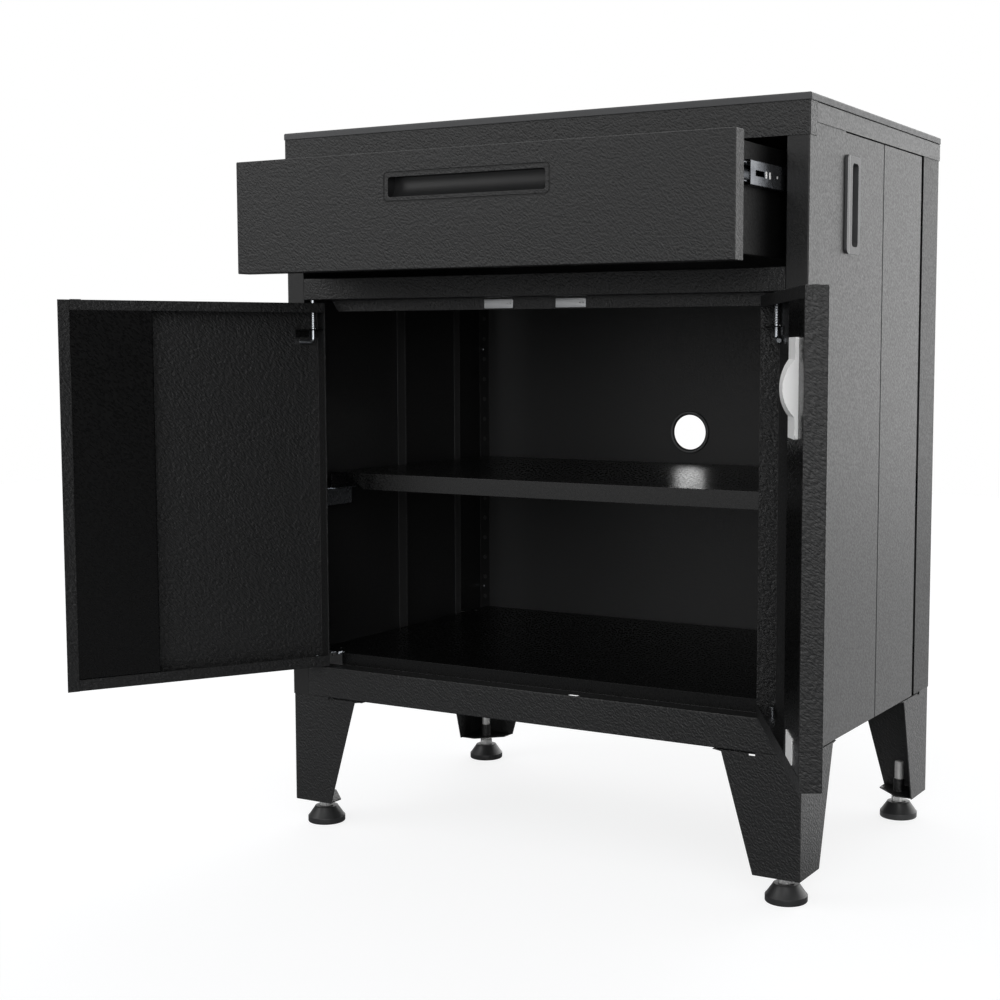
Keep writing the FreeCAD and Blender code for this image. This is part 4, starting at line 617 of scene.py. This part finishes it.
def fastener_tree():
    """Sets one fastener at each seat, its axis along the seat's facing, each turned its own way."""
    tree = bpy.data.node_groups.new("fasteners_on_seats", "GeometryNodeTree")
    for name, kind in (("Seats", "NodeSocketGeometry"), ("Fastener", "NodeSocketObject"),
                       ("Size", "NodeSocketFloat"), ("Turn", "NodeSocketFloat"),
                       ("Finish", "NodeSocketMaterial")):
        tree.interface.new_socket(name, in_out="INPUT", socket_type=kind)
    tree.interface.new_socket("Fasteners", in_out="OUTPUT", socket_type="NodeSocketGeometry")
    recipe = Recipe(tree)
    given = recipe.node("NodeGroupInput")
    shown = recipe.node("NodeGroupOutput")
    fastener = recipe.node("GeometryNodeObjectInfo")
    facing = recipe.node("GeometryNodeInputNamedAttribute", data_type="FLOAT_VECTOR")
    facing.inputs["Name"].default_value = "facing"
    aim = recipe.node("FunctionNodeAlignRotationToVector", axis="Z")
    chance = recipe.node("FunctionNodeRandomValue", data_type="FLOAT")
    chance.inputs["Seed"].default_value = 7
    spin = recipe.node("FunctionNodeAxisAngleToRotation")
    turn = recipe.node("FunctionNodeRotateRotation", rotation_space="LOCAL")
    placed = recipe.node("GeometryNodeInstanceOnPoints")
    real = recipe.node("GeometryNodeRealizeInstances")
    coat = recipe.node("GeometryNodeSetMaterial")
    recipe.feed(fastener.inputs["Object"], given.outputs["Fastener"])
    recipe.feed(aim.inputs["Vector"], facing.outputs[0])
    chance.inputs["Min"].default_value = 0.0
    recipe.feed(chance.inputs["Max"], given.outputs["Turn"])
    spin.inputs["Axis"].default_value = (0, 0, 1)
    recipe.feed(spin.inputs["Angle"], chance.outputs["Value"])
    recipe.feed(turn.inputs["Rotation"], aim.outputs[0])
    recipe.feed(turn.inputs["Rotate By"], spin.outputs[0])
    recipe.feed(placed.inputs["Points"], given.outputs["Seats"])
    recipe.feed(placed.inputs["Instance"], fastener.outputs["Geometry"])
    recipe.feed(placed.inputs["Rotation"], turn.outputs[0])
    recipe.feed(placed.inputs["Scale"], given.outputs["Size"])
    recipe.feed(real.inputs["Geometry"], placed.outputs["Instances"])
    recipe.feed(coat.inputs["Geometry"], real.outputs["Geometry"])
    recipe.feed(coat.inputs["Material"], given.outputs["Finish"])
    recipe.feed(shown.inputs["Fasteners"], coat.outputs["Geometry"])
    return tree


def drive(tree, shape, seats, turn, material, name):
    """Sets a shape at each seat by the fastener tree and returns the plain mesh."""
    pattern = bpy.data.objects.new(name + "_pattern", to_mesh(shape, name + "_pattern", 30.0))
    points = bpy.data.meshes.new(name + "_seats")
    points.from_pydata([place for place, facing in seats], [], [])
    layer = points.attributes.new("facing", "FLOAT_VECTOR", "POINT")
    for index, (place, facing) in enumerate(seats):
        layer.data[index].vector = facing
    holder = bpy.data.objects.new(name + "_seats", points)
    for thing in (pattern, holder):
        bpy.context.scene.collection.objects.link(thing)
    modifier = holder.modifiers.new("fasteners", "NODES")
    modifier.node_group = tree
    values = {"Fastener": pattern, "Size": 1.0, "Turn": turn, "Finish": material}
    for item in tree.interface.items_tree:
        if item.in_out == "INPUT" and item.name in values:
            modifier[item.identifier] = values[item.name]
    bpy.context.view_layer.update()
    finished = holder.evaluated_get(bpy.context.evaluated_depsgraph_get())
    mesh = bpy.data.meshes.new_from_object(finished)
    holder.modifiers.remove(modifier)
    for thing in (holder, pattern):
        bpy.data.objects.remove(thing)
    return mesh


def merged(name, *meshes):
    """One mesh out of several."""
    whole = bmesh.new()
    for mesh in meshes:
        whole.from_mesh(mesh)
    mesh = bpy.data.meshes.new(name)
    whole.to_mesh(mesh)
    whole.free()
    return mesh


SLIDE_AXIS_Z = 802.4 * MM
LEG_BOLT_X, LEG_BOLT_Y, LEG_BOLT_Z = (331.0 * MM, 313.0 * MM), 177.5 * MM, 226.7 * MM
LEG_BOLT_FLATS, LEG_BOLT_HEAD = 13.0 * MM, 5.3 * MM
SLIDE_SCREW_X, SLIDE_SCREW_Y = 326.3 * MM, (-160.0 * MM, 115.0 * MM)
RUNNER_SCREW_X, RUNNER_SCREW_Y = 315.5 * MM, (-290.0 * MM, -15.0 * MM)
BACK_SCREW_X, BACK_SCREW_Y = 347.3 * MM, 227.6 * MM
BACK_SCREW_Z = (258.5 * MM, 439.7 * MM, 620.9 * MM, 840.0 * MM)
FRONT_SCREW_X, FRONT_SCREW_Y = 250.0 * MM, -334.3 * MM
FRONT_SCREW_Z = (725.1 * MM, 830.8 * MM)
SCREW_HEAD_R, SCREW_SHANK_R = 3.9 * MM, 1.9 * MM


def fit_fasteners(tree, zinc):
    """Hexagon bolts in the legs' plates, cross-recess screws in slides, back and drawer."""
    down, rearward = Vector((0, 0, -1)), Vector((0, 1, 0))
    bolts = [(Vector((sx * x, sy * LEG_BOLT_Y, LEG_BOLT_Z)), down)
             for sx in (-1, 1) for sy in (-1, 1) for x in LEG_BOLT_X]
    slide_seats, back_seats, inner_seats, wall_seats = [], [], [], []
    for side in (-1, 1):
        outward = Vector((side, 0, 0))
        for y in SLIDE_SCREW_Y:
            slide_seats.append((Vector((side * SLIDE_SCREW_X, y, SLIDE_AXIS_Z)), -outward))
        for y in RUNNER_SCREW_Y:
            inner_seats.append((Vector((side * RUNNER_SCREW_X, y, SLIDE_AXIS_Z)), outward))
        for z in BACK_SCREW_Z:
            back_seats.append((Vector((side * BACK_SCREW_X, BACK_SCREW_Y, z)), rearward))
        for z in FRONT_SCREW_Z:
            wall_seats.append((Vector((side * FRONT_SCREW_X, FRONT_SCREW_Y, z)), rearward))

    def screws(seats, head, shank, name):
        screw = cross_screw(SCREW_HEAD_R, head, SCREW_SHANK_R, shank)
        return drive(tree, screw, seats, 3.0, zinc, name)

    bolt = hex_head(LEG_BOLT_FLATS, LEG_BOLT_HEAD, 0.0)
    bolt_mesh = drive(tree, bolt, bolts, 1.0, zinc, "leg_bolts")
    slide = screws(slide_seats, 1.0 * MM, 2.4 * MM, "slide_screws")
    back = screws(back_seats, 1.6 * MM, 1.6 * MM, "back_screws")
    keep(merged("case_set", slide, back, bolt_mesh), "case_screws_and_bolts", "cabinet",
         "zinc_plate", zinc, "case_fasteners")
    inner = screws(inner_seats, 1.0 * MM, 1.8 * MM, "runner_screws")
    wall = screws(wall_seats, 1.0 * MM, 1.6 * MM, "front_screws")
    keep(merged("tray_screws", inner, wall), "tray_screws", "drawer", "zinc_plate", zinc,
         "drawer_screws")


def turn_grommet(material):
    """The cable hole's ring, its flange on the inner, front face of the back panel."""
    low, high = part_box("cable_grommet")
    middle = (low + high) / 2
    front, back = low.y - middle.y, high.y - middle.y
    inner, wall, rim = GROMMET_BORE_R, GROMMET_WALL_R, GROMMET_RIM_R
    behind = front + GROMMET_FLANGE
    profile = [(inner, back), (inner, behind), (inner + 1.9 * MM, front + 0.1 * MM)]
    profile += [(inner + 2.2 * MM, front)]
    profile += arc((rim - 0.8 * MM, front + 0.8 * MM), 0.8 * MM, -90, 0, 5)
    profile += [(rim, behind), (wall, behind), (wall, back)]
    shape = turned(profile, middle, 96, "y")
    keep(to_mesh(shape, "grommet"), "cable_grommet_ring", "cabinet", "black_plastic", material,
         "cable_grommet")


def coil_springs(material):
    """Round-wire springs on the upper hinge pins, each with a mesh of its own."""
    wire, turns, around, along = 0.5 * MM, 11, 10, 20
    upward, count = Vector((0, 0, 1)), turns * along
    for side in SIDES:
        low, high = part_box("hinge_spring_" + side)
        middle, reach = (low + high) / 2, (high.x - low.x) / 2 - wire
        length = high.z - low.z
        shape, rings = bmesh.new(), []
        for step in range(count + 1):
            angle = 2 * math.pi * step / along
            outward = Vector((math.cos(angle), math.sin(angle), 0.0))
            rise = wire + (length - 2 * wire) * step / count
            centre = Vector((middle.x, middle.y, low.z + rise)) + outward * reach
            rings.append([shape.verts.new(centre + outward * x + upward * y)
                          for x, y in circle(wire, around)])
        for first, second in zip(rings, rings[1:]):
            for part in range(around):
                after = (part + 1) % around
                shape.faces.new((first[part], first[after], second[after], second[part]))
        shape.faces.new(rings[0])
        shape.faces.new(rings[-1][::-1])
        spring = keep(to_mesh(shape, "spring"), "coiled_spring_" + side, side + "_door",
                      "spring_steel", material, "hinge_spring_" + side)
        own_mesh(spring)


def rounded_plate(low, high, corner, edge):
    """A plate in the XZ plane with round corners and a soft front edge, facing -Y."""
    shape, steps = bmesh.new(), 6
    half_x, half_z = (high.x - low.x) / 2, (high.z - low.z) / 2
    centre = (low + high) / 2

    def outline(inset, y):
        ring, radius = [], max(corner - inset, 0.0001)
        for quarter, (sx, sz) in enumerate(((1, 1), (-1, 1), (-1, -1), (1, -1))):
            for step in range(steps + 1):
                angle = math.radians(90 * quarter + 90 * step / steps)
                x = sx * (half_x - corner) + radius * math.cos(angle)
                z = sz * (half_z - corner) + radius * math.sin(angle)
                ring.append(shape.verts.new((centre.x + x, y, centre.z + z)))
        return ring

    rings = [outline(0.0, high.y), outline(0.0, low.y + edge),
             outline(edge * 0.3, low.y + edge * 0.3), outline(edge, low.y)]
    for lower, upper in zip(rings, rings[1:]):
        for index in range(len(lower)):
            after = (index + 1) % len(lower)
            shape.faces.new((lower[index], lower[after], upper[after], upper[index]))
    shape.faces.new(rings[0])
    shape.faces.new(rings[-1])
    return shape


CATCH_NEAR, CATCH_FAR = 29.45 * MM, 70.05 * MM
RIVET = [(0, 0.25 * MM), (0.5 * MM, 0.2 * MM), (0.9 * MM, 0.02 * MM), (0.9 * MM, -0.3 * MM),
         (0, -0.3 * MM)]
RIVET_INSET, RIVET_STEP = 3.4 * MM, 4.4 * MM


def press_magnets(material):
    """The magnet catches' plates, each with two small rivets at its right end."""
    low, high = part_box("catch_magnets")
    plates = bmesh.new()
    for side in (-1, 1):
        near, far = sorted((side * CATCH_NEAR, side * CATCH_FAR))
        corners = Vector((near, low.y, low.z)), Vector((far, high.y, high.z))
        plate = rounded_plate(*corners, 1.2 * MM, 0.35 * MM)
        for step in (0.0, RIVET_STEP):
            seat = (far - RIVET_INSET - step, low.y, (low.z + high.z) / 2)
            plate.from_mesh(to_mesh(turned(RIVET, seat, 14, "y"), "dot"))
        plates.from_mesh(to_mesh(plate, "plate"))
    for vert in plates.verts:
        vert.co.y = min(max(vert.co.y, low.y), high.y)
    keep(to_mesh(plates, "catch_plates"), "catch_plates", "cabinet", "catch_plate", material,
         "catch_magnets")


RUNNER_WEB_X = 324.9 * MM
LANCE_LIFT = 0.35 * MM
# Each lance in a runner's web: where it stands along Y, its length and its height
LANCES = ((-275.5 * MM, 4.2 * MM, 7.5 * MM), (-265.5 * MM, 4.2 * MM, 7.5 * MM),
          (-245.5 * MM, 3.0 * MM, 3.0 * MM))


def lance(shape, side, y, length, height):
    """One arched tab: a grid of points that bulges out of the web, over a flat one sunk in it."""
    rows, columns = 8, 5
    arched, sunk = [], []
    for row in range(rows + 1):
        across = -1 + 2 * row / rows
        z = SLIDE_AXIS_Z + height * across / 2
        arched_row, sunk_row = [], []
        for column in range(columns + 1):
            part = column / columns
            rise = math.sin(math.pi * (0.15 + 0.7 * part)) * math.sqrt(max(0.0, 1 - across ** 2))
            out = RUNNER_WEB_X + LANCE_LIFT * rise - 0.05 * MM
            along = y + length * (part - 0.5)
            arched_row.append(shape.verts.new((side * out, along, z)))
            sunk_row.append(shape.verts.new((side * (RUNNER_WEB_X - 0.4 * MM), along, z)))
        arched.append(arched_row)
        sunk.append(sunk_row)
    for row in range(rows):
        for column in range(columns):
            here, across = (row, column), (row, column + 1)
            above, beyond = (row + 1, column), (row + 1, column + 1)
            for grid, corners in ((arched, (here, above, beyond, across)),
                                  (sunk, (here, across, beyond, above))):
                shape.faces.new([grid[r][c] for r, c in corners])
    edge = [(row, 0) for row in range(rows)] + [(rows, column) for column in range(columns)]
    edge += [(row, columns) for row in range(rows, 0, -1)]
    edge += [(0, column) for column in range(columns, 0, -1)]
    for (row, column), (next_row, next_column) in zip(edge, edge[1:] + edge[:1]):
        shape.faces.new((arched[row][column], sunk[row][column], sunk[next_row][next_column],
                         arched[next_row][next_column]))


def lance_slides(material):
    """Small arched tabs struck out of each middle runner's web, in a near-white steel: painted
    highlight.
    """
    shape = bmesh.new()
    for side in (-1, 1):
        for y, length, height in LANCES:
            lance(shape, side, y, length, height)
    keep(to_mesh(shape, "lances"), "runner_lances", "slide_middles", "zinc_plate", material)


# Finishes on the pieces that keep the CAD's own shape

def coat(material, *names):
    """Gives nodes of the cabinet one finish."""
    for name in names:
        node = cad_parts[name]
        if not node.material_slots:
            node.data.materials.append(material)
        for slot in node.material_slots:
            slot.material = material


def both(*names):
    """The names of left and right pieces."""
    return [name + "_" + side for name in names for side in SIDES]


PULL_X, PULL_Z = 0.0, 803.65 * MM
PULL_HALF_X, PULL_HALF_Z, PULL_CORNER, PULL_LINE = 108.5 * MM, 16.3 * MM, 5.0 * MM, 0.9 * MM


def paint_frame():
    """Coats the nodes and returns the finishes of the pieces that are shaped here."""
    outline = pressed_line(PULL_X, PULL_Z, PULL_HALF_X, PULL_HALF_Z, PULL_CORNER, PULL_LINE)
    body = powder_coat("textured_black_coat")
    front = powder_coat("textured_black_front", outline=outline)
    # Painted shade: a darker copy of the body coat for the inner faces of the case and doors
    inside = powder_coat("textured_black_inside_painted_shade", base=0.002, wrinkle=0.4, roughness=0.3,
                         relief=0.00008, gloss=1.35)
    # Painted shade: a darker copy of the body coat for the shelf inside the case
    shelf = powder_coat("textured_black_shelf_painted_shade", base=0.003, wrinkle=0.3, roughness=0.28,
                        relief=0.00008, gloss=1.6)
    # Painted light: a lighter copy of the body coat for the back panel
    back = powder_coat("textured_black_back_painted_light", base=0.019, wrinkle=0.6, relief=0.0003)
    # Painted light: a slightly lighter, glossier copy of the body coat for the top skirts
    skirt = powder_coat("textured_black_skirt_painted_light", base=0.009, wrinkle=0.4, relief=0.0005, gloss=1.55)
    side = powder_coat("textured_black_side", wrinkle=0.4, relief=0.0005)
    # Painted shade: a copy of the body coat with weaker reflection, so the rear posts read darker
    # than the sides
    rear = powder_coat("textured_black_rear_painted_shade", wrinkle=0.4, relief=0.0005, gloss=1.33)
    # Painted shade: a darker copy of the body coat for the drawer's tray
    inner = powder_coat("textured_black_drawer_painted_shade", base=0.003, wrinkle=0.8, roughness=0.5,
                        relief=0.0005, gloss=1.22)
    top = smooth_coat("smooth_black_worktop_painted_light")
    zinc = plated_steel("bright_zinc", (0.62, 0.65, 0.69, 1.0), 0.24)
    # Painted shade: a much darker copy of the zinc for the drawer runners
    slide = plated_steel("slide_zinc_painted_shade", (0.105, 0.112, 0.125, 1.0), 0.24)
    # Painted highlight: a whiter, part non-metal copy of the zinc for the foot studs
    stud = plated_steel("bright_stud_steel_painted_highlight", (0.92, 0.92, 0.91, 1.0), 0.42, 0.6)
    # Painted highlight: a near-white copy of the steel for the lances, far lighter than their
    # runner
    struck = plated_steel("struck_steel_painted_highlight", (0.95, 0.95, 0.94, 1.0), 0.4, 0.4)
    catch = plated_steel("grey_catch_steel", (0.66, 0.67, 0.68, 1.0), 0.45, 0.85)
    spring = plated_steel("drawn_spring_wire", (0.78, 0.79, 0.80, 1.0), 0.2)
    plastic = moulded_plastic("satin_black_plastic", shade(0.010), shade(0.015), 0.34)
    ring = grommet_plastic()
    foot = moulded_plastic("foot_black_plastic", shade(0.022), shade(0.028), 0.36, 800.0,
                           0.00003)
    # Painted light: a lighter copy of the black plastic for the side grips
    grip = moulded_plastic("grip_plastic_painted_light", shade(0.05), shade(0.07), 0.4)
    white = moulded_plastic("white_plastic", (0.88, 0.88, 0.875, 1.0),
                            (0.93, 0.93, 0.925, 1.0), 0.42)
    coat(body, "front_top_rail", "mid_rail", "bottom_rail", "drawer_back", *both("door_skin"),
         *["leg_" + corner for corner in CORNERS])
    coat(front, "drawer_front")
    coat(inside, "floor_panel", "drawer_front_wall", "slide_supports",
         *both("door_stiffener", "hinge_tab"))
    coat(shelf, "shelf")
    coat(back, "back_panel")
    coat(side, *both("side_front", "side_rear"))
    coat(skirt, "top_skirts")
    coat(inner, "drawer_tray")
    coat(rear, *both("rear_post"))
    coat(top, "top_panel")
    coat(slide, "slide_outers", "slide_middles", "slide_inners")
    coat(zinc, "ball_cages", "shelf_clips", "bottom_hinge_pins", *both("hinge_pin"))
    coat(plastic, "drawer_pull_cup", *both("door_pull_cup", "door_buffer"))
    coat(grip, *both("side_grip"))
    coat(white, "pull_backing", "stiffener_pad")
    return {"zinc": zinc, "spring": spring, "stud": stud, "struck": struck, "catch": catch,
            "ring": ring, "foot": foot}


set_camera()
set_world()
set_softbox()
lay_floor()
finishes = paint_frame()
fasteners = fastener_tree()
turn_feet(finishes["foot"])
thread_studs(fasteners, finishes["stud"])
fit_fasteners(fasteners, finishes["zinc"])
turn_grommet(finishes["ring"])
coil_springs(finishes["spring"])
press_magnets(finishes["catch"])
lance_slides(finishes["struck"])
bpy.context.scene.view_settings.view_transform = "Standard"
